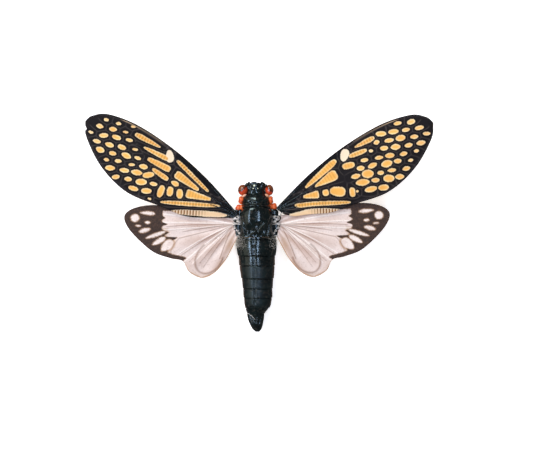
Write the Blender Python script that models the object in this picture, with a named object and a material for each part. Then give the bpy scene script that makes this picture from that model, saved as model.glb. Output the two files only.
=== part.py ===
"""A dried cicada set with its four wings spread, lying on its belly.

Frame: metres, +Z up, head towards +Y, the insect's own left side at -X. The origin is on the surface
that it rests on, below the middle of its box. Sizes here are in millimetres until in_metres turns them.
"""

import math

import bmesh
import bpy
from mathutils import Vector

# ---- driving dimensions, in millimetres ----
GAP = 0.12  # clearance between two pieces that touch on the insect
HEAD_REAR_Y = 9.5
PRONOTUM_REAR_Y = 5.5
THORAX_REAR_Y = -4.4
ABDOMEN_REAR_Y = -28.6
TAIL_END_Y = -34.7
WING_SHELF_Z = 8.5  # where the shield of the back meets the sides of the thorax
EYE_RADII = (1.65, 1.75, 1.85)
EYE_CENTRE = (4.0, 10.5, 8.3)
OCELLUS_RADIUS = 0.3
OCELLUS_PAIR = (0.65, 10.9, 10.8)
OCELLUS_FRONT = (0, 11.8, 10.55)
SHOULDER_LOBE = ((5.9, 5.0, 7.7), (0.9, 1.15, 0.95))  # centre and radii
WING_HINGE = ((6.25, 2.65, 7.85), (0.8, 0.6, 0.4))
OPERCULUM = ((0.5, -3.0), (3.4, -3.4), (4.6, -4.6), (3.6, -6.2), (0.6, -6.0))
OPERCULUM_Z = (2.35, 2.1)  # of its two faces at its front edge
OPERCULUM_SLOPE = 0.5
WING_THICKNESS = 0.3
RING_SIDES = 24
SIDES = {"left": -1, "right": 1}

# The forewing: u runs from the hinge to the tip, v forwards across the wing.
FOREWING_HINGE = {"left": (6.15, 2.3, 9.2), "right": (5.85, 4.2, 9.2)}
FOREWING_SWEEP = {"left": 32.0, "right": 29.1}
FOREWING_FRONT = ((0.5, 0.5), (14, 4.5), (28, 7), (42, 7.5), (52, 5.5), (56, 2.5), (57, 0.5))
FOREWING_REAR = ((1, -1.5), (6, -4.5), (14, -9), (22, -10.5), (34, -12.5), (45, -10), (54, -4.5), (57, -0.5))
FOREWING_LENGTH = 57.0
FOREWING_RISE = 0.05  # per millimetre of length
FOREWING_CAMBER = 0.8
FOREWING_DROOP = 0.5  # of the rear edge next to the body

# The hindwing: a fan about its hinge, as (outwards, forwards).
HINDWING_HINGE = {"left": (7.15, -0.5, 8.1), "right": (6.85, -0.5, 8.1)}
HINDWING_TURN = {"left": -0.8, "right": 0.8}
HINDWING_ROOT = ((-1.0, 1.5), (-1.05, 0), (-1.1, -1.8), (-1.0, -3.3))
HINDWING_EDGE = ((0.5, 3), (14, 5.5), (28, 6.5), (35, 4), (34, -1), (27, -8), (21, -10.5), (17, -11.5),
                 (15, -15), (11, -17), (7, -15.5), (3, -11), (-0.5, -4.5))
HINDWING_LENGTH = 35.5
HINDWING_RISE = 0.022
HINDWING_DROOP = 0.7  # of the inner lobe

# The body bends a little from side to side, as dried insects do: (y, x) of its middle line.
MIDLINE = ((TAIL_END_Y, -0.15), (-29.5, -0.65), (-28.7, -0.6), (-28.6, 0.05), (-24.0, 0.1), (-17.0, -0.05),
           (-10.0, -0.3), (4.0, -0.35), (9.5, -0.6), (13.3, -0.7))

# Cross-sections along the body: y, half width, lowest z, highest z, z of the widest point.
HEAD = ((HEAD_REAR_Y + GAP, 3.1, 4.6, 10.2, 8.0), (10.6, 3.1, 4.0, 10.4, 8.2), (11.6, 3.3, 3.7, 10.2, 8.1),
        (12.3, 3.35, 3.8, 9.7, 7.8), (12.75, 2.7, 4.2, 9.2, 7.5), (13.15, 1.2, 5.2, 8.5, 7.0))
PRONOTUM = ((HEAD_REAR_Y, 3.4, 5.6, 10.3, 8.2), (8.9, 4.0, 5.0, 10.8, 8.3), (8.1, 5.1, 4.7, 11.2, 8.4),
            (7.3, 5.55, 4.6, 11.7, 8.5), (6.6, 5.4, 4.6, 12.0, 8.6), (6.0, 4.9, 4.6, 12.2, 8.6),
            (PRONOTUM_REAR_Y, 4.5, 4.8, 12.1, 8.6))
ABDOMEN = ((THORAX_REAR_Y - GAP, 5.9, 2.4, 11.5, 7.0), (-6.0, 6.3, 1.3, 11.5, 6.8),
           (-8.4, 6.35, 0.4, 11.3, 6.3), (-10.2, 6.05, 0.0, 11.0, 6.0), (-12.0, 5.75, -0.2, 10.7, 5.8),
           (-14.0, 5.65, -0.25, 10.4, 5.6), (-17.0, 5.35, -0.25, 9.9, 5.3), (-21.0, 4.9, -0.25, 9.1, 4.8),
           (-24.0, 4.6, -0.15, 8.4, 4.5), (-26.3, 4.2, 0.2, 7.7, 4.2), (-27.6, 3.6, 0.8, 6.9, 4.0),
           (ABDOMEN_REAR_Y, 3.0, 1.3, 6.2, 3.9))
TAIL = ((ABDOMEN_REAR_Y - GAP, 2.8, 1.5, 5.9, 3.8), (-30.0, 2.85, 1.4, 5.5, 3.6),
        (-31.4, 2.6, 1.4, 5.0, 3.3), (-32.8, 2.05, 1.5, 4.4, 3.0), (-34.0, 1.5, 1.8, 3.7, 2.8),
        (TAIL_END_Y, 0.6, 2.3, 3.2, 2.75))

# Half cross-sections of the thorax, above and below its shelf: y, half width, z of the crown.
MESONOTUM = ((PRONOTUM_REAR_Y - GAP, 4.1, 11.9), (4.6, 4.7, 12.7), (3.2, 5.2, 13.3), (1.4, 5.35, 13.4),
             (-0.4, 5.2, 12.8), (-1.8, 5.1, 12.1), (-3.2, 5.3, 11.7), (THORAX_REAR_Y, 5.6, 11.4))
THORAX = ((PRONOTUM_REAR_Y - GAP, 4.0, 3.8), (4.4, 4.7, 3.1), (2.6, 5.2, 2.8), (0.6, 5.3, 2.7),
          (-1.6, 5.2, 2.8), (-3.2, 5.3, 3.1), (THORAX_REAR_Y, 5.5, 3.4))

# Limbs, from the body outwards: (point, radius) stations.
BEAK = (((0, 10.9, 3.1), 0.62), ((0, 9.6, 2.75), 0.5), ((0, 7.4, 2.35), 0.42), ((0, 5.0, 2.1), 0.36),
        ((0, 3.4, 2.0), 0.2))
ANTENNA = (((2.0, 12.95, 5.0), 0.26), ((2.2, 13.05, 4.3), 0.22), ((2.35, 12.9, 3.4), 0.12),
           ((2.45, 12.4, 2.5), 0.08), ((2.4, 11.7, 1.9), 0.05))
LEGS = {
    "fore": {
        "coxa": (((1.9, 7.0, 4.35), 0.75), ((2.1, 6.7, 3.6), 0.8), ((2.3, 6.5, 3.0), 0.5)),
        "femur": (((2.5, 7.0, 2.2), 0.45), ((2.9, 8.2, 2.15), 0.85), ((3.2, 9.9, 2.1), 0.8),
                  ((3.3, 11.3, 1.95), 0.42)),
        "tibia": (((3.3, 11.5, 0.95), 0.36), ((3.2, 10.4, 0.6), 0.42), ((2.9, 8.0, 0.55), 0.38),
                  ((2.6, 5.9, 0.5), 0.42)),
        "tarsus": (((2.55, 5.65, 0.4), 0.26), ((2.45, 4.6, 0.3), 0.24), ((2.3, 3.2, 0.3), 0.22),
                   ((2.2, 2.6, 0.24), 0.12)),
    },
    "mid": {
        "coxa": (((2.7, 2.8, 2.65), 0.8), ((3.0, 2.7, 2.1), 0.85), ((3.4, 2.6, 1.75), 0.5)),
        "femur": (((3.75, 2.55, 1.7), 0.45), ((4.6, 2.3, 1.75), 0.62), ((5.7, 1.9, 1.75), 0.58),
                  ((6.6, 1.5, 1.6), 0.4)),
        "tibia": (((6.5, 1.1, 1.05), 0.34), ((5.8, -0.1, 0.6), 0.36), ((4.6, -1.9, 0.45), 0.34),
                  ((3.4, -3.7, 0.45), 0.38)),
        "tarsus": (((3.2, -3.95, 0.36), 0.25), ((2.7, -4.7, 0.3), 0.23), ((2.1, -5.6, 0.28), 0.21),
                   ((1.8, -6.1, 0.22), 0.12)),
    },
    "hind": {
        "coxa": (((2.2, -0.6, 2.55), 0.8), ((2.5, -0.9, 2.0), 0.85), ((3.0, -1.2, 1.7), 0.5)),
        "femur": (((3.35, -1.4, 1.75), 0.45), ((4.2, -2.0, 2.0), 0.6), ((5.2, -2.9, 2.2), 0.56),
                  ((5.95, -3.7, 2.1), 0.38)),
        "tibia": (((6.0, -4.1, 1.5), 0.33), ((5.8, -5.8, 0.75), 0.36), ((5.5, -9.0, 0.45), 0.34),
                  ((5.1, -12.9, 0.42), 0.38)),
        "tarsus": (((5.05, -13.2, 0.34), 0.24), ((4.95, -14.2, 0.28), 0.22), ((4.8, -15.6, 0.27), 0.2),
                   ((4.75, -16.3, 0.21), 0.12)),
    },
}

# Each finish: sRGB red, green, blue, then roughness and metallic.
FINISHES = {
    "black_shell": (0.045, 0.055, 0.052, 0.28, 0.0),
    "matt_shell": (0.06, 0.055, 0.05, 0.55, 0.0),
    "red_eye": (0.62, 0.13, 0.04, 0.12, 0.0),
    "orange_lobe": (0.85, 0.25, 0.08, 0.4, 0.0),
    "clear_ocellus": (0.75, 0.68, 0.55, 0.15, 0.0),
    "amber_wing": (0.45, 0.32, 0.15, 0.45, 0.0),
    "milky_wing": (0.8, 0.74, 0.7, 0.5, 0.0),
    "pale_hinge": (0.55, 0.52, 0.47, 0.5, 0.0),
}


def clear_scene():
    """Removes the startup objects."""
    for obj in list(bpy.data.objects):
        bpy.data.objects.remove(obj)


def in_metres(point):
    return Vector(point) * 0.001


def linear(channel):
    """One sRGB channel as linear light."""
    return channel / 12.92 if channel <= 0.04045 else ((channel + 0.055) / 1.055) ** 2.4


def material(finish):
    """The Principled material of a finish, made once."""
    found = bpy.data.materials.get(finish)
    if found:
        return found
    red, green, blue, roughness, metallic = FINISHES[finish]
    made = bpy.data.materials.new(finish)
    made.use_nodes = True
    shader = made.node_tree.nodes["Principled BSDF"]
    shader.inputs["Base Color"].default_value = (linear(red), linear(green), linear(blue), 1)
    shader.inputs["Roughness"].default_value = roughness
    shader.inputs["Metallic"].default_value = metallic
    return made


def mesh_object(name, bm, finish, smooth_angle=40):
    """Links a bmesh, in metres, as a smooth-shaded object."""
    bmesh.ops.recalc_face_normals(bm, faces=bm.faces)
    mesh = bpy.data.meshes.new(name)
    bm.to_mesh(mesh)
    bm.free()
    mesh.shade_smooth()
    mesh.set_sharp_from_angle(angle=math.radians(smooth_angle))
    mesh.materials.append(material(finish))
    obj = bpy.data.objects.new(name, mesh)
    bpy.context.scene.collection.objects.link(obj)
    return obj


def skin(name, rings, finish):
    """A closed solid over rings of points in millimetres, with a flat face at each end."""
    bm = bmesh.new()
    loops = [[bm.verts.new(in_metres(point)) for point in ring] for ring in rings]
    for near, far in zip(loops, loops[1:]):
        for i in range(len(near)):
            j = (i + 1) % len(near)
            bm.faces.new((near[i], near[j], far[j], far[i]))
    bm.faces.new(loops[0])
    bm.faces.new(loops[-1])
    return mesh_object(name, bm, finish)


def midline(y):
    """The x of the body's middle line at y."""
    for (y0, x0), (y1, x1) in zip(MIDLINE, MIDLINE[1:]):
        if y <= y1:
            return x0 + (x1 - x0) * (y - y0) / (y1 - y0)
    return MIDLINE[-1][1]


def beside(x, y, z, side):
    """The point at a distance x to one side of the middle line, on side -1 or 1."""
    return (midline(y) + side * x, y, z)


def whole_ring(station, power=0.9):
    """Points round a rounded cross-section of the body. It never goes below the resting surface."""
    y, half_width, low, high, widest = station
    ring = []
    for i in range(RING_SIDES):
        angle = 2 * math.pi * i / RING_SIDES
        across, up = math.cos(angle), math.sin(angle)
        reach = high - widest if up > 0 else widest - low
        x = half_width * math.copysign(abs(across) ** power, across)
        z = widest + reach * math.copysign(abs(up) ** power, up)
        ring.append(beside(x, y, max(z, 0.0), 1))
    return ring


def half_ring(station, shelf, power=0.8):
    """Points of a half cross-section: an arch from the flat shelf up, or down, to the crown."""
    y, half_width, crown = station
    arch = RING_SIDES // 2
    ring = []
    for i in range(arch + 1):
        angle = math.pi * i / arch
        x = half_width * math.copysign(abs(math.cos(angle)) ** power, math.cos(angle))
        ring.append(beside(x, y, shelf + (crown - shelf) * math.sin(angle) ** power, 1))
    return ring


def ball(name, centre, radii, finish, segments=16, rings=10):
    """An ellipsoid, with its size in its mesh."""
    bm = bmesh.new()
    bmesh.ops.create_uvsphere(bm, u_segments=segments, v_segments=rings, radius=1)
    for vert in bm.verts:
        vert.co = in_metres([c + p * r for c, p, r in zip(centre, vert.co, radii)])
    return mesh_object(name, bm, finish, 180)


def bead(name, centre):
    """One of the simple eyes."""
    ball(name, centre, [OCELLUS_RADIUS] * 3, "clear_ocellus", 10, 6)


def limb(name, stations, side, finish):
    """A tapered round limb, from (point, radius) stations: a bevelled curve with closed ends."""
    data = bpy.data.curves.new(name, "CURVE")
    data.dimensions = "3D"
    data.bevel_depth = 0.001
    data.bevel_resolution = 2
    data.use_fill_caps = True
    data.materials.append(material(finish))
    spline = data.splines.new("POLY")
    spline.points.add(len(stations) - 1)
    spline.use_smooth = True
    for point, (place, radius) in zip(spline.points, stations):
        point.co = (*in_metres(beside(*place, side)), 1)
        point.radius = radius
    obj = bpy.data.objects.new(name, data)
    bpy.context.scene.collection.objects.link(obj)
    return obj


def smooth_line(points, count):
    """Evenly spaced points along the Catmull-Rom curve through a few points."""
    places = [Vector((*p, 0)) for p in points]
    ends = [2 * places[0] - places[1], *places, 2 * places[-1] - places[-2]]
    fine = []
    for a, b, c, d in zip(ends, ends[1:], ends[2:], ends[3:]):
        for step in range(12):
            t = step / 12
            fine.append(0.5 * (2 * b + (c - a) * t + (2 * a - 5 * b + 4 * c - d) * t * t
                               + (3 * b - 3 * c + d - a) * t ** 3))
    fine.append(places[-1])
    run = [0.0]
    for a, b in zip(fine, fine[1:]):
        run.append(run[-1] + (b - a).length)
    found, k = [], 0
    for i in range(count):
        want = run[-1] * i / (count - 1)
        while k < len(run) - 2 and run[k + 1] < want:
            k += 1
        share = (want - run[k]) / max(run[k + 1] - run[k], 1e-9)
        found.append(fine[k].lerp(fine[k + 1], min(max(share, 0), 1)))
    return found


def plate(name, near_edge, far_edge, strips, height, place, finish):
    """A thin curved sheet between two flat edges; height gives its z, and place sets it on the body."""
    bm = bmesh.new()
    layers = []
    for offset in (WING_THICKNESS / 2, -WING_THICKNESS / 2):
        layer = []
        for a, b in zip(near_edge, far_edge):
            row = []
            for k in range(strips + 1):
                flat = a.lerp(b, k / strips)
                rise = height(flat.x, flat.y, k / strips) + offset
                row.append(bm.verts.new(in_metres(place(flat.x, flat.y, rise))))
            layer.append(row)
        layers.append(layer)
    top, under = layers
    last = len(near_edge) - 1
    for i in range(last):
        for k in range(strips):
            bm.faces.new((top[i][k], top[i][k + 1], top[i + 1][k + 1], top[i + 1][k]))
            bm.faces.new((under[i][k], under[i + 1][k], under[i + 1][k + 1], under[i][k + 1]))
        for k in (0, strips):
            bm.faces.new((top[i][k], top[i + 1][k], under[i + 1][k], under[i][k]))
    for k in range(strips):
        for i in (0, last):
            bm.faces.new((top[i][k], top[i][k + 1], under[i][k + 1], under[i][k]))
    return mesh_object(name, bm, finish)


def setting(hinge, turn, side):
    """Carries a wing's own (out, forward, height) to the body, turned about its hinge on its side."""
    cosine, sine = math.cos(math.radians(turn)), math.sin(math.radians(turn))

    def place(out, forward, height):
        x = hinge[0] + out * cosine - forward * sine
        y = hinge[1] + out * sine + forward * cosine
        return (side * x, y, hinge[2] + height)

    return place


def forewing(side_name):
    def height(u, v, back):
        share = min(max(u / FOREWING_LENGTH, 0), 1)
        camber = FOREWING_CAMBER * math.sin(math.pi * back) * math.sin(math.pi * share) ** 0.5
        return FOREWING_RISE * u + camber - FOREWING_DROOP * back * (1 - share)

    place = setting(FOREWING_HINGE[side_name], FOREWING_SWEEP[side_name], SIDES[side_name])
    front, rear = smooth_line(FOREWING_FRONT, 27), smooth_line(FOREWING_REAR, 27)
    plate("forewing_" + side_name, front, rear, 6, height, place, "amber_wing")


def hindwing(side_name):
    def height(u, v, out):
        reach = math.hypot(u, v)
        inwards = min(max(-math.degrees(math.atan2(v, u)) / 90, 0), 1)
        return HINDWING_RISE * reach - HINDWING_DROOP * inwards * reach / HINDWING_LENGTH

    place = setting(HINDWING_HINGE[side_name], HINDWING_TURN[side_name], SIDES[side_name])
    root, edge = smooth_line(HINDWING_ROOT, 34), smooth_line(HINDWING_EDGE, 34)
    plate("hindwing_" + side_name, root, edge, 5, height, place, "milky_wing")


def cut(obj, cutter):
    """Takes a hidden cutter's shape out of an object."""
    cutter.hide_render = True
    cutter.display_type = "WIRE"
    boolean = obj.modifiers.new("clear of " + cutter.name, "BOOLEAN")
    boolean.operation = "DIFFERENCE"
    boolean.object = cutter


def head():
    """Head capsule and collar with sockets for the eyes, the eyes, simple eyes, antennae and beak."""
    capsule = skin("head", [whole_ring(s) for s in HEAD], "black_shell")
    collar = skin("pronotum", [whole_ring(s) for s in PRONOTUM], "black_shell")
    for side_name, side in SIDES.items():
        centre = beside(*EYE_CENTRE, side)
        ball("eye_" + side_name, centre, EYE_RADII, "red_eye")
        socket = ball("eye_socket_" + side_name, centre, [r + GAP for r in EYE_RADII], "black_shell")
        cut(capsule, socket)
        cut(collar, socket)
        bead("ocellus_" + side_name, beside(*OCELLUS_PAIR, side))
        limb("antenna_" + side_name, ANTENNA, side, "black_shell")
    bead("ocellus_front", beside(*OCELLUS_FRONT, 1))
    limb("beak", BEAK, 1, "black_shell")


def thorax():
    """The shields of the back and belly, the red lobes, the wing hinges and the sound covers."""
    skin("mesonotum", [half_ring(s, WING_SHELF_Z + GAP) for s in MESONOTUM], "black_shell")
    skin("thorax", [half_ring(s, WING_SHELF_Z) for s in THORAX], "matt_shell")
    for side_name, side in SIDES.items():
        for name, (centre, radii), finish in (("shoulder_lobe_", SHOULDER_LOBE, "orange_lobe"),
                                              ("wing_hinge_", WING_HINGE, "pale_hinge")):
            ball(name + side_name, beside(*centre, side), radii, finish, 14, 8)
        front = OPERCULUM[0][1]
        layers = [[beside(x, y, z + OPERCULUM_SLOPE * (y - front), side) for x, y in OPERCULUM]
                  for z in OPERCULUM_Z]
        skin("operculum_" + side_name, layers, "black_shell")


def abdomen():
    """The ringed hind body and the capsule at its end."""
    skin("abdomen", [whole_ring(s) for s in ABDOMEN], "black_shell")
    skin("tail_capsule", [whole_ring(s) for s in TAIL], "black_shell")


def legs():
    for pair, pieces in LEGS.items():
        for side_name, side in SIDES.items():
            for piece, stations in pieces.items():
                limb(f"{pair}_{piece}_{side_name}", stations, side, "black_shell")


def main():
    clear_scene()
    head()
    thorax()
    abdomen()
    legs()
    for side_name in SIDES:
        forewing(side_name)
        hindwing(side_name)


main()
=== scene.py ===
"""The looks of a dry, spread cicada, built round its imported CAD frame.

Lengths here are millimetres in the frame's axes (x to the insect's right, y to its head, z up) unless a
name says otherwise, and meshes are turned to metres as they are made. Places on a wing are (out, forward)
from its hinge.
"""

import logging
import math
from dataclasses import dataclass, field
from enum import Enum
from typing import Callable, Iterable, Sequence

import bpy
import numpy as np
from mathutils import Matrix, Vector


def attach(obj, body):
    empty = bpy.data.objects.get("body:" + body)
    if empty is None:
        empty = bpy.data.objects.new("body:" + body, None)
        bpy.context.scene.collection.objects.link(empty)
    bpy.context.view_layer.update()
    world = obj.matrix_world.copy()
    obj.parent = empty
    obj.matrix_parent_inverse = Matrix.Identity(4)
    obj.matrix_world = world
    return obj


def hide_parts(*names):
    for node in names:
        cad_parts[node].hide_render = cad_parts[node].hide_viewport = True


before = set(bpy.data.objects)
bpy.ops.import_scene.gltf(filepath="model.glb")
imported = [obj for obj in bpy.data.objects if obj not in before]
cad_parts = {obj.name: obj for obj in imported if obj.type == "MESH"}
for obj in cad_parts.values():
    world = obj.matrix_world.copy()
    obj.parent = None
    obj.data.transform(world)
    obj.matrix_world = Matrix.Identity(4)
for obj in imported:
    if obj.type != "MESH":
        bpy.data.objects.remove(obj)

MM = 0.001
LOG = logging.getLogger("cicada")
Stations = Sequence[tuple[float, ...]]

# The body bends a little from side to side, as dried insects do: (y, x) of its middle line.
MIDLINE: Stations = ((-35.2, -0.1), (-32.0, -0.5), (-29.5, -0.65), (-28.3, -0.4), (-27.0, 0.0), (-24.0, 0.1),
                     (-17.0, -0.05), (-10.0, -0.3), (4.0, -0.35), (9.5, -0.6), (13.3, -0.7))


class Side(Enum):
    """A side of the insect; the value is the sign of its x."""

    LEFT = -1
    RIGHT = 1

    @property
    def label(self) -> str:
        """The side's name, as the CAD nodes spell it."""
        return self.name.lower()


# ---------------------------------------------------------------- shapes

def linear(code: str) -> tuple[float, float, float, float]:
    """Turns an sRGB hex colour to the linear colour that shaders take.

    Args:
        code: six hex digits after a hash.

    Returns:
        Linear red, green and blue, and an alpha of 1.
    """
    parts = [int(code[i:i + 2], 16) / 255 for i in (1, 3, 5)]
    return (*[p / 12.92 if p <= 0.04045 else ((p + 0.055) / 1.055) ** 2.4 for p in parts], 1.0)


def smooth_line(points: Stations, count: int) -> np.ndarray:
    """Finds evenly spaced points along the Catmull-Rom curve through a few points.

    Args:
        points: the points, in any number of dimensions.
        count: how many to return.

    Returns:
        An array of count rows.
    """
    p = np.asarray(points, float)
    ends = np.vstack([2 * p[0] - p[1], p, 2 * p[-1] - p[-2]])
    t = (np.arange(12) / 12)[:, None]
    fine = [0.5 * (2 * b + (c - a) * t + (2 * a - 5 * b + 4 * c - d) * t * t
                   + (3 * b - 3 * c + d - a) * t ** 3) for a, b, c,
                   d in zip(ends, ends[1:], ends[2:], ends[3:])]
    line = np.vstack([*fine, p[-1:]])
    run = np.concatenate([[0.0], np.cumsum(np.linalg.norm(np.diff(line, axis=0), axis=1))])
    want = np.linspace(0, run[-1], count)
    return np.column_stack([np.interp(want, run, line[:, k]) for k in range(p.shape[1])])


def midline(y: np.ndarray | float) -> np.ndarray:
    """The x of the body's middle line at y."""
    return np.interp(y, [s[0] for s in MIDLINE], [s[1] for s in MIDLINE])


def line_distance(places: np.ndarray, line: Stations) -> np.ndarray:
    """Measures how far places are from a line of straight runs.

    Args:
        places: an array whose last axis holds the coordinates.
        line: the line's points.

    Returns:
        The distance of each place to the nearest run.
    """
    points = np.asarray(line, float)
    best = np.full(places.shape[:-1], 1e9)
    for a, b in zip(points, points[1:]):
        run = b - a
        share = np.clip(((places - a) @ run) / max(run @ run, 1e-12), 0, 1)
        best = np.minimum(best, np.linalg.norm(places - a - share[..., None] * run, axis=-1))
    return best


def step(value: np.ndarray, low: float, high: float) -> np.ndarray:
    """A smooth step from 0 at low to 1 at high; low may be the larger one."""
    t = np.clip((value - low) / (high - low), 0, 1)
    return t * t * (3 - 2 * t)


@dataclass
class Shell:
    """A closed skin in millimetres.

    points holds its vertices, quads and tris its faces, and marks a number at each vertex for each name
    that a material reads.
    """

    points: np.ndarray
    quads: np.ndarray
    tris: np.ndarray
    marks: dict[str, np.ndarray] = field(default_factory=dict)

    def outward(self) -> "Shell":
        """Turns the faces outwards, judged by the volume that they enclose."""
        p = self.points
        tris = np.vstack([self.tris, self.quads[:, [0, 1, 2]], self.quads[:, [0, 2, 3]]]).astype(int)
        a, b, c = p[tris[:, 0]], p[tris[:, 1]], p[tris[:, 2]]
        if np.einsum("ij,ij->i", a, np.cross(b, c)).sum() < 0:
            self.quads, self.tris = self.quads[:, ::-1], self.tris[:, ::-1]
        return self


def loft(rings: np.ndarray, marks: dict[str, np.ndarray] | None = None) -> Shell:
    """Skins over rings of points and closes each end with a pole.

    Args:
        rings: stations x sides x 3.
        marks: stations x sides numbers, by name.

    Returns:
        The closed shell.
    """
    stations, sides = rings.shape[:2]
    grid = np.arange(stations * sides).reshape(stations, sides)
    turned = np.roll(grid, -1, 1)
    quads = np.stack([grid[:-1], turned[:-1], turned[1:], grid[1:]], -1).reshape(-1, 4)
    tris = []
    for row, pole in ((0, grid.size), (-1, grid.size + 1)):
        fan = np.stack([turned[row], grid[row], np.full(sides, pole)], -1)
        tris.append(fan if row == 0 else fan[:, ::-1])
    points = np.vstack([rings.reshape(-1, 3), rings[0].mean(0), rings[-1].mean(0)])
    full = {k: np.concatenate([m.ravel(), [m[0].mean(), m[-1].mean()]]) for k, m in (marks or {}).items()}
    return Shell(points, quads, np.vstack(tris), full).outward()


def sheet(top: np.ndarray, under: np.ndarray, marks: dict[str, np.ndarray]) -> Shell:
    """Makes a thin closed solid between two grids of points, walled round their edge.

    Args:
        top, under: rows x columns x 3.
        marks: rows x columns numbers for both faces, by name.

    Returns:
        The closed shell.
    """
    rows, columns = top.shape[:2]
    grid = np.arange(rows * columns).reshape(rows, columns)
    face = np.stack([grid[:-1, :-1], grid[1:, :-1], grid[1:, 1:], grid[:-1, 1:]], -1).reshape(-1, 4)
    rim = np.concatenate([grid[0, :-1], grid[:-1, -1], grid[-1, :0:-1], grid[:0:-1, 0]])
    far = np.roll(rim, -1)
    wall = np.stack([rim, far, far + grid.size, rim + grid.size], -1)
    quads = np.vstack([face, face[:, ::-1] + grid.size, wall])
    points = np.vstack([top.reshape(-1, 3), under.reshape(-1, 3)])
    both = {k: np.concatenate([m.ravel(), m.ravel()]) for k, m in marks.items()}
    return Shell(points, quads, np.zeros((0, 3), int), both).outward()


def tube(stations: Stations, sides: int = 16, count: int = 24, swell: Callable | None = None) -> Shell:
    """Makes a round limb through (x, y, z, radius) stations.

    Args:
        stations: the limb's points and radii.
        sides: points round it.
        count: rings along it.
        swell: gives a factor on the radius from the share along (0 to 1) and the angle round.

    Returns:
        The closed shell, with its share along as the mark "along".
    """
    line = smooth_line(stations, count)
    ahead = np.gradient(line[:, :3], axis=0)
    ahead /= np.linalg.norm(ahead, axis=1)[:, None]
    across = np.cross(ahead, (0.0, 0.0, 1.0))
    across += np.where(np.linalg.norm(across, axis=1)[:, None] < 0.05, np.array([[1.0, 0, 0]]), 0)
    across /= np.linalg.norm(across, axis=1)[:, None]
    up = np.cross(across, ahead)
    angle = np.linspace(0, 2 * math.pi, sides, endpoint=False)
    share = np.linspace(0, 1, count)
    radius = line[:, 3][:, None] * np.ones(sides)
    if swell is not None:
        radius = radius * swell(share[:, None], angle[None, :])
    rings = (line[:, None, :3] + radius[..., None]
             * (np.cos(angle)[None, :, None] * across[:, None] + np.sin(angle)[None, :, None] * up[:, None]))
    rings[..., 2] = np.maximum(rings[..., 2], 0.0)
    return loft(rings, {"along": share[:, None] * np.ones(sides)})


def ball(centre: Sequence[float], radii: Sequence[float], sides: int = 32, rings: int = 22) -> Shell:
    """Makes a closed ellipsoid with its poles fore and aft.

    Args:
        centre: its middle.
        radii: its three half sizes.
        sides: points round it.
        rings: rings between its poles.

    Returns:
        The closed shell.
    """
    turn = np.linspace(0, math.pi, rings + 2)[1:-1, None]
    angle = np.linspace(0, 2 * math.pi, sides, endpoint=False)[None, :]
    unit = np.stack([np.sin(turn) * np.cos(angle), np.cos(turn) * np.ones_like(angle),
                     np.sin(turn) * np.sin(angle)], -1)
    return loft(np.asarray(centre) + unit * np.asarray(radii))


def raised(rings: np.ndarray, height: np.ndarray) -> np.ndarray:
    """Moves a grid of points out along its own normals.

    Args:
        rings: stations x sides x 3, closed round the sides.
        height: stations x sides.

    Returns:
        The moved points.
    """
    along = np.gradient(rings, axis=0)
    wrapped = np.concatenate([rings[:, -1:], rings, rings[:, :1]], 1)
    around = (wrapped[:, 2:] - wrapped[:, :-2]) / 2
    normal = np.cross(around, along)
    normal /= np.maximum(np.linalg.norm(normal, axis=-1), 1e-9)[..., None]
    middle = rings.mean(axis=1, keepdims=True)
    if (normal * (rings - middle)).sum() < 0:
        normal = -normal
    return rings + normal * height[..., None]


def piece(name: str, shells: Iterable[Shell], finish: bpy.types.Material, replaced: Sequence[str],
          sharp: float = 50.0) -> bpy.types.Object:
    """Makes one piece of the insect from closed shells and tells the frame about it.

    Args:
        name: the piece's name.
        shells: its closed skins, in millimetres.
        finish: its material.
        replaced: the CAD nodes that it stands for.
        sharp: the angle between faces, in degrees, past which an edge is shaded as an edge.

    Returns:
        The object, riding on the one body.
    """
    found = list(shells)
    start = np.cumsum([0, *[len(s.points) for s in found]])
    points = np.vstack([s.points for s in found]) * MM
    faces = []
    for first, shell in zip(start, found):
        faces += (shell.quads + first).tolist()
        faces += (shell.tris + first).tolist()
    mesh = bpy.data.meshes.new(name)
    mesh.from_pydata(points.tolist(), [], faces)
    for mark in sorted({m for s in found for m in s.marks}):
        values = np.concatenate([s.marks.get(mark, np.zeros(len(s.points))) for s in found])
        mesh.attributes.new(mark, "FLOAT", "POINT").data.foreach_set("value", values.astype(np.float32))
    mesh.shade_smooth()
    mesh.set_sharp_from_angle(angle=math.radians(sharp))
    mesh.materials.append(finish)
    return shown(name, mesh, replaced)


def shown(name: str, mesh: bpy.types.Mesh, replaced: Sequence[str]) -> bpy.types.Object:
    """Links a finished mesh as a piece that rides on the body and reports it.

    Args:
        name: the piece's name.
        mesh: its mesh.
        replaced: the CAD nodes whose looks it takes over.

    Returns:
        The piece.
    """
    made = bpy.data.objects.new(name, mesh)
    bpy.context.scene.collection.objects.link(made)
    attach(made, "root")
    if replaced:
        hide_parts(*replaced)
    LOG.info("%s: %d faces", name, len(mesh.polygons))
    return made


def add(tree: bpy.types.NodeTree, kind: str, inputs: dict | None = None, stops: Sequence = (),
        **settings: object) -> bpy.types.Node:
    """Adds a node with its settings and links.

    Args:
        tree: the tree that it goes in.
        kind: the node's type name.
        inputs: what each input takes, by name or number: a value, or another node's output.
        stops: a colour ramp's (position, hex colour) pairs.
        settings: the node's own properties.

    Returns:
        The node.
    """
    made = tree.nodes.new(kind)
    for name, value in settings.items():
        setattr(made, name, value)
    for place, code in stops:
        ramp = made.color_ramp
        spot = ramp.elements.new(place) if (place, code) not in (stops[0], stops[-1]) else (
            ramp.elements[0] if (place, code) == stops[0] else ramp.elements[-1])
        spot.position, spot.color = place, linear(code)
    for name, value in (inputs or {}).items():
        if isinstance(value, bpy.types.NodeSocket):
            tree.links.new(value, made.inputs[name])
        else:
            made.inputs[name].default_value = value
    return made


# ---------------------------------------------------------------- finishes

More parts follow.
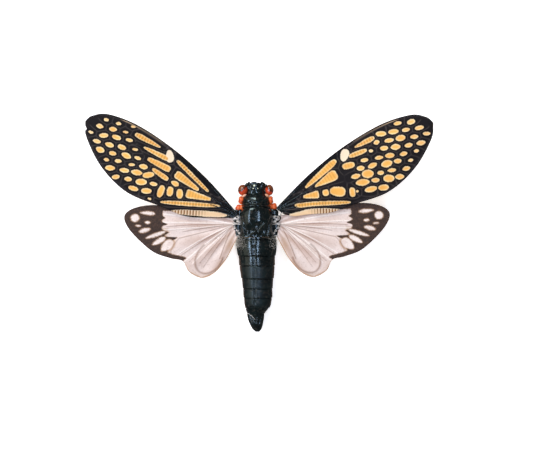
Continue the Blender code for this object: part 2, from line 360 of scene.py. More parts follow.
@dataclass(frozen=True)
class Finish:
    """A surface finish. Each kind paints its own nodes into a new material."""

    name: str

    def paint(self, tree: bpy.types.NodeTree, skin: bpy.types.Node, place: bpy.types.NodeSocket) -> None:
        """Adds the finish's nodes.

        Args:
            tree: the material's tree.
            skin: its Principled BSDF.
            place: the surface's Object coordinates.
        """
        raise NotImplementedError

    def made(self) -> bpy.types.Material:
        """The finished material."""
        material = bpy.data.materials.new(self.name)
        material.use_nodes = True
        tree = material.node_tree
        place = add(tree, "ShaderNodeTexCoord").outputs["Object"]
        self.paint(tree, tree.nodes["Principled BSDF"], place)
        return material

    def noise(self, tree: bpy.types.NodeTree, place: bpy.types.NodeSocket, millimetres: float,
              detail: float = 3.0) -> bpy.types.NodeSocket:
        """Noise whose patches are about that many millimetres across."""
        return add(tree, "ShaderNodeTexNoise", {"Vector": place, "Scale": 1 / (millimetres * MM),
                                                "Detail": detail}).outputs["Fac"]

    def relief(self, tree: bpy.types.NodeTree, skin: bpy.types.Node, height: bpy.types.NodeSocket,
               millimetres: float, under: bpy.types.NodeSocket | None = None) -> bpy.types.NodeSocket:
        """Wires bump that deep to the skin, over any bump under it.

        Args:
            tree: the material's tree.
            skin: its Principled BSDF.
            height: what the bump follows.
            millimetres: how deep it is.
            under: the bump below it, if any.

        Returns:
            The bumped normal.
        """
        links = {"Height": height, "Distance": millimetres * MM, "Strength": 1.0}
        if under is not None:
            links["Normal"] = under
        bump = add(tree, "ShaderNodeBump", links)
        tree.links.new(bump.outputs["Normal"], skin.inputs["Normal"])
        return bump.outputs["Normal"]

    def spread(self, tree: bpy.types.NodeTree, source: bpy.types.NodeSocket, low: float, high: float,
               to_low: float, to_high: float) -> bpy.types.NodeSocket:
        """The source's range carried smoothly to another range."""
        return add(tree, "ShaderNodeMapRange", {0: source, 1: low, 2: high, 3: to_low, 4: to_high},
                   interpolation_type="SMOOTHSTEP").outputs[0]

    def blend(self, tree: bpy.types.NodeTree, share: bpy.types.NodeSocket | float, a: object,
              b: object) -> bpy.types.NodeSocket:
        """Colour a turned to colour b by a share."""
        return add(tree, "ShaderNodeMix", {0: share, 6: a, 7: b}, data_type="RGBA").outputs[2]


@dataclass(frozen=True)
class Chitin(Finish):
    """Sclerotised chitin, dried: a hard black wax-smooth skin with fine punctures and soft dents."""

    deep: str = "#050707"
    pale: str = "#0f1817"
    smooth: float = 0.1
    rough: float = 0.24
    pits: float = 0.0015
    dents: float = 0.006
    edge: str = "#4a2c18"
    dust: float = 0.35

    def paint(self, tree: bpy.types.NodeTree, skin: bpy.types.Node, place: bpy.types.NodeSocket) -> None:
        """Adds the nodes.

        Args:
            tree: the material's tree.
            skin: its Principled BSDF.
            place: the surface's Object coordinates.
        """
        cloud = self.noise(tree, place, 2.2, 4)
        grain = self.noise(tree, place, 0.35, 3)
        base = add(tree, "ShaderNodeValToRGB", {0: cloud}, stops=((0.35, self.deep), (0.72, self.pale)))
        thin = add(tree, "ShaderNodeAttribute", attribute_name="thin").outputs["Fac"]
        colour = self.blend(tree, thin, base.outputs[0], linear(self.edge))
        settled = self.spread(tree, self.noise(tree, place, 0.8, 6), 0.5, 0.72, 0.0, self.dust)
        dusty = self.blend(tree, settled, colour, linear("#4a4238"))
        tree.links.new(dusty, skin.inputs["Base Color"])
        dull = add(tree, "ShaderNodeAttribute", attribute_name="dull").outputs["Fac"]
        gloss = self.spread(tree, grain, 0.3, 0.75, self.smooth, self.rough)
        worn = add(tree, "ShaderNodeMath", {0: dull, 1: 0.28, 2: gloss}, operation="MULTIPLY_ADD").outputs[0]
        tree.links.new(worn, skin.inputs["Roughness"])
        skin.inputs["IOR"].default_value = 1.56
        skin.inputs["Specular Tint"].default_value = linear("#d2e6e6")
        # Punctures are about 0.3 mm apart on the real skin.
        cells = add(tree, "ShaderNodeTexVoronoi", {"Vector": place, "Scale": 1 / (0.3 * MM)}).outputs[0]
        pit = self.spread(tree, cells, 0.0, 0.35, 0.0, 1.0)
        dent = self.relief(tree, skin, self.noise(tree, place, 1.1, 2), self.dents)
        self.relief(tree, skin, pit, self.pits, dent)


@dataclass(frozen=True)
class Leathery(Finish):
    """Soft unhardened cuticle: orange, waxy, faintly wrinkled, with darker folds."""

    deep: str = "#9a3410"
    bright: str = "#d65a24"
    hot: str = "#e07a34"
    rough: float = 0.42

    def paint(self, tree: bpy.types.NodeTree, skin: bpy.types.Node, place: bpy.types.NodeSocket) -> None:
        """Adds the nodes.

        Args:
            tree: the material's tree.
            skin: its Principled BSDF.
            place: the surface's Object coordinates.
        """
        cloud = self.noise(tree, place, 0.9, 4)
        base = add(tree, "ShaderNodeValToRGB", {0: cloud},
                   stops=((0.3, self.deep), (0.5, self.bright), (0.75, self.hot)))
        tree.links.new(base.outputs[0], skin.inputs["Base Color"])
        skin.inputs["Roughness"].default_value = self.rough
        skin.inputs["Subsurface Weight"].default_value = 0.15
        skin.inputs["Subsurface Radius"].default_value = (0.001, 0.0005, 0.0002)
        self.relief(tree, skin, self.noise(tree, place, 0.5, 3), 0.06)


@dataclass(frozen=True)
class Cornea(Finish):
    """A compound eye: clear glossy facets over red pigment, browned on top where it has dried."""

    red: str = "#b83310"
    brown: str = "#6a3517"
    dark: str = "#2a0f08"
    rough: float = 0.12

    def paint(self, tree: bpy.types.NodeTree, skin: bpy.types.Node, place: bpy.types.NodeSocket) -> None:
        """Adds the nodes.

        Args:
            tree: the material's tree.
            skin: its Principled BSDF.
            place: the surface's Object coordinates.
        """
        dry = add(tree, "ShaderNodeAttribute", attribute_name="dry").outputs["Fac"]
        mottle = self.noise(tree, place, 0.9, 2)
        shifted = add(tree, "ShaderNodeMath", {0: mottle, 1: 0.3}, operation="MULTIPLY").outputs[0]
        total = add(tree, "ShaderNodeMath", {0: dry, 1: shifted}, operation="ADD").outputs[0]
        base = add(tree, "ShaderNodeValToRGB", {0: total}, stops=(
            (0.2, "#8e2408"), (0.42, "#d0491c"), (0.54, self.red), (0.62, self.dark), (0.72, self.brown),
            (0.95, "#8a4a24")))
        tree.links.new(base.outputs[0], skin.inputs["Base Color"])
        skin.inputs["Roughness"].default_value = self.rough
        skin.inputs["IOR"].default_value = 1.5
        skin.inputs["Coat Weight"].default_value = 1.0
        skin.inputs["Coat Roughness"].default_value = 0.04
        # Real facets are 0.03 mm; drawn at 0.11 mm so that they show.
        facets = add(tree, "ShaderNodeTexVoronoi", {"Vector": place, "Scale": 1 / (0.11 * MM)}).outputs[0]
        self.relief(tree, skin, facets, 0.0012)


@dataclass(frozen=True)
class AmberWing(Finish):
    """The forewing: a dry charcoal membrane with amber panes, ribbed across, between veins coloured grey as a
    painted highlight along their raised crests.
    """

    amber: str = "#f0b055"
    peach: str = "#f6d8a4"
    cream: str = "#ead7bb"
    charcoal: str = "#171211"
    black: str = "#070505"

    def paint(self, tree: bpy.types.NodeTree, skin: bpy.types.Node, place: bpy.types.NodeSocket) -> None:
        """Adds the nodes.

        Args:
            tree: the material's tree.
            skin: its Principled BSDF.
            place: the surface's Object coordinates.
        """
        mark = {n: add(tree, "ShaderNodeAttribute", attribute_name=n).outputs["Fac"]
                for n in ("pane", "vein", "pale", "rib", "hem", "costa")}
        fine = self.noise(tree, place, 0.4, 4)
        cloud = self.noise(tree, place, 2.5, 3)
        ragged = add(tree, "ShaderNodeMath", {0: self.spread(tree, fine, 0.2, 0.8, -0.09, 0.09),
                                              1: mark["pane"]}, operation="ADD").outputs[0]
        inner = add(tree, "ShaderNodeValToRGB", {0: self.spread(tree, ragged, -1.1, 0.0, 0.0, 1.0)}, stops=(
            (0.0, self.amber), (0.5, "#f2b65f"), (0.8, "#f0c27c"), (1.0, self.peach))).outputs[0]
        mottled = self.blend(tree, self.spread(tree, cloud, 0.35, 0.7, 0.0, 0.5), inner, linear("#dc9c46"))
        bleached = self.blend(tree, mark["pale"], mottled, linear(self.cream))
        pane = self.blend(tree, mark["rib"], bleached, linear("#7a4e28"))
        dark = add(tree, "ShaderNodeValToRGB", {0: self.spread(tree, ragged, 0.1, 0.75, 0.0, 1.0)}, stops=(
            (0.0, self.black), (0.5, "#130d0b"), (1.0, self.charcoal))).outputs[0]
        # Veins, stems and folds are painted grey: a painted highlight along their raised crests.
        painted_vein_glint = self.blend(tree, mark["vein"], dark, linear("#433c38"))
        banded = self.blend(tree, mark["costa"], painted_vein_glint, linear("#060505"))
        hemmed = self.blend(tree, mark["hem"], banded, linear("#b79a78"))
        window = self.spread(tree, ragged, 0.13, -0.13, 0.0, 1.0)
        tree.links.new(self.blend(tree, window, hemmed, pane), skin.inputs["Base Color"])
        tree.links.new(self.spread(tree, window, 0.0, 1.0, 0.5, 0.6), skin.inputs["Roughness"])
        skin.inputs["Specular IOR Level"].default_value = 0.12
        self.relief(tree, skin, fine, 0.04)


@dataclass(frozen=True)
class MilkyWing(Finish):
    """The hindwing: a milky, faintly pink parchment fan with a smoky brown end and cream veins."""

    milk: str = "#d5c0b3"
    rose: str = "#a8826c"
    smoke: str = "#1f130a"
    tan: str = "#b08a66"

    def paint(self, tree: bpy.types.NodeTree, skin: bpy.types.Node, place: bpy.types.NodeSocket) -> None:
        """Adds the nodes.

        Args:
            tree: the material's tree.
            skin: its Principled BSDF.
            place: the surface's Object coordinates.
        """
        mark = {n: add(tree, "ShaderNodeAttribute", attribute_name=n).outputs["Fac"]
                for n in ("smoke", "cream", "brown", "tan", "fold")}
        fine = self.noise(tree, place, 0.5, 4)
        cloud = self.noise(tree, place, 3.0, 3)
        base = add(tree, "ShaderNodeValToRGB", {0: cloud},
                   stops=((0.3, "#e3d1c5"), (0.7, self.milk))).outputs[0]
        folded = self.blend(tree, mark["fold"], base, linear(self.rose))
        edged = self.blend(tree, mark["tan"], folded, linear(self.tan))
        cream = self.blend(tree, mark["cream"], edged, linear("#f3e8dc"))
        brown = self.blend(tree, mark["brown"], cream, linear("#7a5238"))
        ragged = add(tree, "ShaderNodeMath", {0: self.spread(tree, fine, 0.2, 0.8, -0.22, 0.22),
                                              1: mark["smoke"]}, operation="ADD").outputs[0]
        smoky = add(tree, "ShaderNodeValToRGB", {0: fine},
                    stops=((0.3, self.smoke), (0.7, "#4a3220"))).outputs[0]
        halo = self.blend(tree, self.spread(tree, ragged, 0.0, 0.5, 0.0, 0.85), brown, linear("#8a6440"))
        window = self.spread(tree, ragged, 0.38, 0.9, 0.0, 1.0)
        tree.links.new(self.blend(tree, window, halo, smoky), skin.inputs["Base Color"])
        skin.inputs["Roughness"].default_value = 0.55
        skin.inputs["Specular IOR Level"].default_value = 0.3
        self.relief(tree, skin, fine, 0.03)


@dataclass(frozen=True)
class Plain(Finish):
    """One clouded colour with a fine grain: for hinge plates, simple eyes, hairs and the studio card."""

    dark: str = "#8d8478"
    light: str = "#d8d0c2"
    patch: float = 0.8
    grain: float = 0.02
    rough: float = 0.5
    coat: float = 0.0
    glow: float = 0.0

    def paint(self, tree: bpy.types.NodeTree, skin: bpy.types.Node, place: bpy.types.NodeSocket) -> None:
        """Adds the nodes.

        Args:
            tree: the material's tree.
            skin: its Principled BSDF.
            place: the surface's Object coordinates.
        """
        cloud = self.noise(tree, place, self.patch, 4)
        base = add(tree, "ShaderNodeValToRGB", {0: cloud}, stops=((0.35, self.dark), (0.65, self.light)))
        tree.links.new(base.outputs[0], skin.inputs["Base Color"])
        skin.inputs["Roughness"].default_value = self.rough
        skin.inputs["Coat Weight"].default_value = self.coat
        skin.inputs["Emission Color"].default_value = linear(self.light)
        skin.inputs["Emission Strength"].default_value = self.glow
        self.relief(tree, skin, self.noise(tree, place, self.patch / 3, 3), self.grain)


# ---------------------------------------------------------------- wings

def encloses(outline: Stations, out: float, forward: float) -> bool:
    """Tells whether a place is inside a closed outline, by counting crossings.

    Args:
        outline: the closed outline.
        out: how far out the place is.
        forward: how far forward it is.

    Returns:
        True if it is inside.
    """
    found = False
    for (x0, y0), (x1, y1) in zip(outline, outline[1:]):
        if (forward < y0) != (forward < y1) and out < x0 + (forward - y0) * (x1 - x0) / (y1 - y0):
            found = not found
    return found


@dataclass(frozen=True)
class Pane:
    """A clear pane on the forewing: its middle, half sizes and turn, and how its outline goes.

    fill is 1.5 for a lens, 2 for an ellipse and up to 4 for a bar with square ends. taper widens its
    outer end. pale turns it from amber to cream, and comb is how strongly it is ribbed across.
    """

    out: float
    forward: float
    length: float
    width: float
    turn: float
    fill: float = 2.0
    taper: float = 0.0
    pale: float = 0.0
    comb: float = 0.0


    def gap(self, out: np.ndarray, forward: np.ndarray) -> tuple[np.ndarray, np.ndarray]:
        """Measures places against the pane.

        Args:
            out: how far out each place is.
            forward: how far forward it is.

        Returns:
            How far each place is outside the pane, and how far along it.
        """
        cosine, sine = math.cos(math.radians(self.turn)), math.sin(math.radians(self.turn))
        along = (out - self.out) * cosine + (forward - self.forward) * sine
        across = (forward - self.forward) * cosine - (out - self.out) * sine
        width = self.width * (1 + self.taper * np.clip(along / self.length, -1, 1))
        p, x, y = self.fill, np.abs(along) / self.length, np.abs(across) / width
        norm = np.maximum((x ** p + y ** p) ** (1 / p), 1e-6)
        slope = norm ** (1 - p) * np.hypot(x ** (p - 1) / self.length, y ** (p - 1) / width)
        return (norm - 1) / np.maximum(slope, 0.5 / self.length), along


@dataclass(frozen=True)
class Network:
    """The small panes of a forewing's outer half, which no two wings carry alike.

    They stand in rows that slant back, every other row half a step on, and shrink towards the tip.
    """

    seed: int
    start: float = 26.0
    reach: float = 57.0
    lean: float = 0.3
    pitch: float = 4.1
    row: float = 2.4
    slant: float = -20.0
    wander: float = 0.4
    border: float = 0.75
    wall: float = 0.35

    def panes(self, large: Sequence[Pane], outline: Stations) -> list[Pane]:
        """Sets out the panes.

        Args:
            large: the listed panes, which the small ones keep clear of.
            outline: the wing's closed edge.

        Returns:
            The small panes.
        """
        rng = np.random.default_rng(self.seed)
        cosine, sine = math.cos(math.radians(self.slant)), math.sin(math.radians(self.slant))
        found = []
        for line in range(-8, 9):
            for place in range(-2, 11):
                drift, size, shape = rng.uniform(-1, 1, 2), rng.uniform(0.6, 1.2), rng.uniform(0.75, 1.15)
                turn, fill = self.slant + rng.normal(0, 6), rng.uniform(1.6, 2.1)
                a = (place + 0.5 * (line % 2) + drift[0] * self.wander / self.pitch) * self.pitch
                b = line * self.row + drift[1] * self.wander * 0.6
                out, forward = self.start + a * cosine - b * sine, a * sine + b * cosine
                inset = float(line_distance(np.array([[out, forward]]), outline)[0])
                if out < self.start + self.lean * forward or not encloses(outline, out, forward):
                    continue
                share = (out - self.start) / (self.reach - self.start)
                width = min((1.12 - 0.5 * share) * shape * size, inset - self.border)
                length = min((1.95 - 0.9 * share) * size, 1.3 * (inset - self.border) + 0.3)
                room = min((float(pane.gap(np.array(out), np.array(forward))[0]) for pane in (*large,
                                                                                              *found)),
                                                                                              default=9.0)
                width, length = min(width, room - self.wall), min(length, 1.35 * (room - self.wall))
                if width > 0.32:
                    pale = 0.25 * step(np.array(share), 0.65, 0.95) * rng.uniform()
                    found.append(Pane(out, forward, max(length, width), width, turn, fill, pale=float(pale)))
        return found


# The large panes between the long veins, to the nearest half millimetre. Small ones come from Network.
LEFT_PANES = (
    # beyond the node
    Pane(37, 5, 4.5, 0.7, -4, 2.8, 0.4, comb=0.5), Pane(32.5, 3, 4.5, 0.7, -6, 2.8, -0.4, comb=0.4),
    Pane(30, 0.5, 4, 0.9, -5, 4.0, -0.25, comb=0.3), Pane(28, -2, 3, 0.75, 3, 3.2, -0.15, comb=0.35),
    Pane(28.5, 4.5, 2, 1.2, 50, 2.2, -0.25, pale=0.85),
    # the row behind the middle
    Pane(25, -6.5, 2, 1, 80, 2.4), Pane(22.5, -5, 1.5, 1, 70, 2.6), Pane(19.5, -4, 1.5, 1, 60, 2.5),
    Pane(22.5, -2, 1.3, 0.8, -5, 1.8, -0.2),
    # base
    Pane(14, -1.5, 4, 1, -18, 6.0, 0.5, comb=0.3), Pane(19.5, 0.5, 4.5, 1, 4, 4.5, 0.45, comb=0.3),
    Pane(19, 3, 7, 0.6, 13, 3.6, 0.1, comb=0.6), Pane(15, -5, 9.5, 0.7, -28, 2.2, comb=0.6),
    Pane(11, -6, 9, 0.9, -28, 2.4, -0.1, pale=0.75, comb=0.95),
)
RIGHT_PANES = (
    # beyond the node
    Pane(35, 5, 3.5, 0.7, -2, 2.4, 0.4, comb=0.5), Pane(31.5, 3, 3, 0.75, -8, 2.6, comb=0.4),
    Pane(27.5, 4.5, 2, 1.3, 45, 2.2, 0.2, pale=0.85), Pane(27, 1, 2, 1, -15, 2.6, comb=0.2),
    # the row behind the middle
    Pane(24, -7, 1.5, 0.9, 70, 2.8), Pane(20, -4.5, 2.5, 1.5, -35, 2.5, 0.15), Pane(16.5, -3, 1, 1, -20, 2.6),
    # base
    Pane(18, 3, 6.5, 0.9, 13, 3.0, 0.35, comb=0.3), Pane(18.5, 0.5, 4, 1.2, 2, 3.4, 0.7, comb=0.25),
    Pane(12, -1.5, 2.5, 0.9, -20, 4.5, 0.5, comb=0.2), Pane(14, -5.5, 9, 0.7, -27, 2.6, -0.1, comb=0.5),
    Pane(10.5, -6.5, 8.5, 1, -27, 2.3, -0.15, pale=0.75, comb=0.95),
)


@dataclass
class Wing:
    """What both wings share: a hinge, a turn about it and a thin closed membrane."""

    side: Side
    hinge: tuple[float, float, float]
    turn: float
    thickness: float = 0.14

    def place(self, out: np.ndarray, forward: np.ndarray, height: np.ndarray) -> np.ndarray:
        """Carries the wing's own places to the body.

        Args:
            out: how far out each place is.
            forward: how far forward it is.
            height: how far above the hinge it is.

        Returns:
            The places in the frame's axes.
        """
        cosine, sine = math.cos(math.radians(self.turn)), math.sin(math.radians(self.turn))
        x = self.hinge[0] + out * cosine - forward * sine
        y = self.hinge[1] + out * sine + forward * cosine
        return np.stack([self.side.value * x, y, self.hinge[2] + height], -1)


@dataclass
class Forewing(Wing):
    """A forewing with its panes, veins and leading-edge band."""

    length: float = 57.0
    rise: float = 0.05
    camber: float = 0.8
    droop: float = 0.5
    front: Stations = ((0.5, 0.5), (14, 4.5), (28, 7), (42, 7.5), (52, 5.5), (56, 2.5), (57, 0.5))
    rear: Stations = ((1, -1.5), (6, -4.5), (14, -9), (22, -10.5), (34, -12.5), (45, -10), (54, -4.5),
                      (57, -0.5))
    stems: tuple[Stations, ...] = (
        ((0.4, 0.1), (3, 0.9), (7, 1.9), (12, 3.3)), ((0.5, -0.2), (4, 0.1), (9, 0.4), (12, 0.2)),
        ((0.6, -0.5), (4.5, -0.7), (9.5, -1.7)), ((0.8, -0.8), (3.2, -1.4), (6.5, -2.4)),
        ((1.0, -1.2), (2.6, -1.9), (4.0, -3.2)))
    large: tuple[Pane, ...] = LEFT_PANES
    seed: int = 5
    nick: tuple[float, float, float] | None = None
    heel: float = 0.0
    columns: int = 300
    rows: int = 90

    def marks(self, out: np.ndarray, forward: np.ndarray) -> dict[str, np.ndarray]:
        """Works out where the panes, veins and bands are.

        Args:
            out: how far out each point is.
            forward: how far forward it is.

        Returns:
            pane (distance outside the nearest pane), vein (0 to 1 on the line between panes, on the stems and
            on the folds; it raises them, and the finish paints them grey as a painted highlight on their
            crests), pale, rib, hem and costa (shares).
        """
        near = np.full(out.shape, 9.0)
        second = near.copy()
        pale, comb, along = np.zeros(out.shape), np.zeros(out.shape), np.zeros(out.shape)
        front, rear = smooth_line(self.front, 300), smooth_line(self.rear, 300)
        outline = [*front[::10], *rear[::-10], front[0]]
        for pane in (*self.large, *Network(self.seed).panes(self.large, outline)):
            gap, a = pane.gap(out, forward)
            second = np.where(gap < near, near, np.minimum(second, gap))
            pale = np.where(gap < near, pane.pale, pale)
            comb = np.where(gap < near, pane.comb, comb)
            along = np.where(gap < near, a, along)
            near = np.minimum(near, gap)
        ahead = np.interp(out, front[:, 0], front[:, 1]) - forward
        behind = forward - np.interp(out, rear[:, 0], rear[:, 1])
        edge = np.minimum(ahead, behind)
        spare = np.minimum(second - near, 2.0)
        stems = np.zeros(out.shape)
        for stem in self.stems:
            stems = np.maximum(stems, np.exp(-(line_distance(np.stack([out, forward], -1),
                                                             stem) / 0.13) ** 2))
        between = np.exp(-(spare / 0.2) ** 2) * step(near, 0.1, 0.35) * step(near, 2.2, 1.2)
        band = np.exp(-((ahead - 0.85) / 0.12) ** 2) * step(out, 48, 44) + np.exp(-(behind / 0.2) ** 2) * 0.6
        # The cross-ribs are about 1 mm apart, and run a little aslant.
        wave = 0.5 + 0.5 * np.cos(2 * math.pi * along / 0.95)
        rib = comb * wave * step(near, 0.0, -0.35)
        clavus = (pale > 0.7) & (comb > 0.9)
        pale = np.where(clavus, 0.55 + 0.25 * (1 - wave) * step(out, 9, 14), pale)
        rib = np.where(clavus, np.minimum(wave * 1.15, 1) * step(out, 8, 13) * step(near, 0.05, -0.15), rib)
        basal = step(out, 9.5, 6.5)
        hem = np.exp(-((ahead - 0.55) / 0.09) ** 2) * step(out, 31, 34) * step(out, 48.5, 46)
        costa = np.maximum(step(ahead, 2.1, 1.5) * step(out, 30, 26),
                           basal * 0.8) * (1 - np.maximum(between, stems))
        costa = np.maximum(costa, step(edge, 0.35, 0.1))
        # Fine folds cross the border; real ones are 0.4 mm apart, drawn at 0.8 mm.
        folds = 0.45 * step(edge, 1.1, 0.5) * step(near, 0.1, 0.4) * (0.5 + 0.5 * np.cos(
            2 * math.pi * (out + 0.8 * forward) / 0.8)) * step(out, 20, 26)
        # vein raises these lines; the finish also paints them grey as a painted highlight on their crests.
        vein = np.maximum(between * 0.8, stems * 1.2) + band * 0.7 + folds
        return {"pane": near, "vein": np.clip(vein, 0, 1), "pale": pale, "rib": rib, "hem": hem,
                "costa": np.clip(costa, 0, 1)}

    def stalks(self, black: bpy.types.Material) -> bpy.types.Object:
        """Builds the glossy raised veins that gather at the wing's base.

        Args:
            black: their material.

        Returns:
            The piece.
        """
        front, rear = smooth_line(self.front, 300), smooth_line(self.rear, 300)
        shells = []
        for stem in self.stems:
            line = smooth_line(stem, 30)
            out, forward = line[:, 0], line[:, 1]
            ahead = np.interp(out, front[:, 0], front[:, 1])
            back = (ahead - forward) / (ahead - np.interp(out, rear[:, 0], rear[:, 1]))
            share = out / self.length
            height = (self.rise * out + self.camber * np.sin(math.pi * back) * np.sin(math.pi * share) ** 0.5
                      - self.droop * back * (1 - share) + self.thickness / 2 + 0.12 * step(out, 8, 2) + 0.14)
            spots = self.place(out, forward, height)
            shells.append(tube(np.column_stack([spots, np.linspace(0.3, 0.08, 30)]), 14, 40))
        return piece("forewing_stalks_" + self.side.label, shells, black, (), 180)

    def build(self, finish: bpy.types.Material) -> bpy.types.Object:
        """Builds the wing.

        Args:
            finish: its material.

        Returns:
            The piece.
        """
        front = smooth_line(self.front, self.columns)[:, None]
        rear = smooth_line(self.rear, self.columns)[:, None]
        back = np.linspace(0, 1, self.rows)[None, :, None]
        flat = front * (1 - back) + rear * back
        out, forward, back = flat[..., 0], flat[..., 1], back[..., 0]
        if self.nick is not None:
            at_out, at_forward, deep = self.nick
            out = out - deep * np.exp(-((out - at_out) ** 2 + (forward - at_forward) ** 2) / 0.3)
        marks = self.marks(out, forward)
        share = np.clip(out / self.length, 0, 1)
        height = (self.rise * out + self.camber * np.sin(math.pi * back) * np.sin(math.pi * share) ** 0.5
                  - self.droop * back * (1 - share))
        # Panes sag a little between raised veins, and the wing is thick at its leading edge and base.
        relief = 0.11 * marks["vein"] - 0.06 * step(marks["pane"], 0.1, -0.5) + 0.02 * marks["rib"]
        ahead = np.interp(out, front[:, 0, 0], front[:, 0, 1]) - forward
        thick = self.thickness / 2 + 0.16 * np.exp(-(ahead / 0.5) ** 2) + 0.12 * step(out, 8, 2)
        edge = np.minimum(ahead, forward - np.interp(out, rear[:, 0, 0], rear[:, 0, 1]))
        thick = thick * (0.35 + 0.65 * step(edge, 0.0, 0.3))
        forward = forward - self.heel * np.exp(-((out - 3.5) / 4.5) ** 2) * step(forward, 0.0, -3.5)
        top = self.place(out, forward, height + thick + relief)
        under = self.place(out, forward, height - thick + relief * 0.5)
        name = "forewing_" + self.side.label
        return piece(name, [sheet(top, under, marks)], finish, [name], 180)


@dataclass(frozen=True)
class Vein:
    """A hindwing vein that runs out from the hinge: its angle, reach, half width, bow and colour."""

    angle: float
    reach: float
    width: float = 0.15
    bow: float = 0.0
    brown: bool = False

    def line(self) -> np.ndarray:
        """Its points as (out, forward)."""
        share = np.linspace(0, 1, 24)
        out = 0.5 + (self.reach - 0.5) * share * math.cos(math.radians(self.angle))
        forward = self.reach * share * math.sin(math.radians(self.angle)) + self.bow * np.sin(math.pi * share)
        return np.column_stack([out, forward])


def loop_vein() -> np.ndarray:
    """The anal lobe's racket-shaped vein, as part of an ellipse that is open towards the hinge."""
    sweep = np.radians(np.linspace(-115, 115, 40))
    along, across, turn = 5.5 * np.cos(sweep), 4.0 * np.sin(sweep), math.radians(-55)
    return np.column_stack([8.5 + along * math.cos(turn) - across * math.sin(turn),
                            -10.5 + along * math.sin(turn) + across * math.cos(turn)])


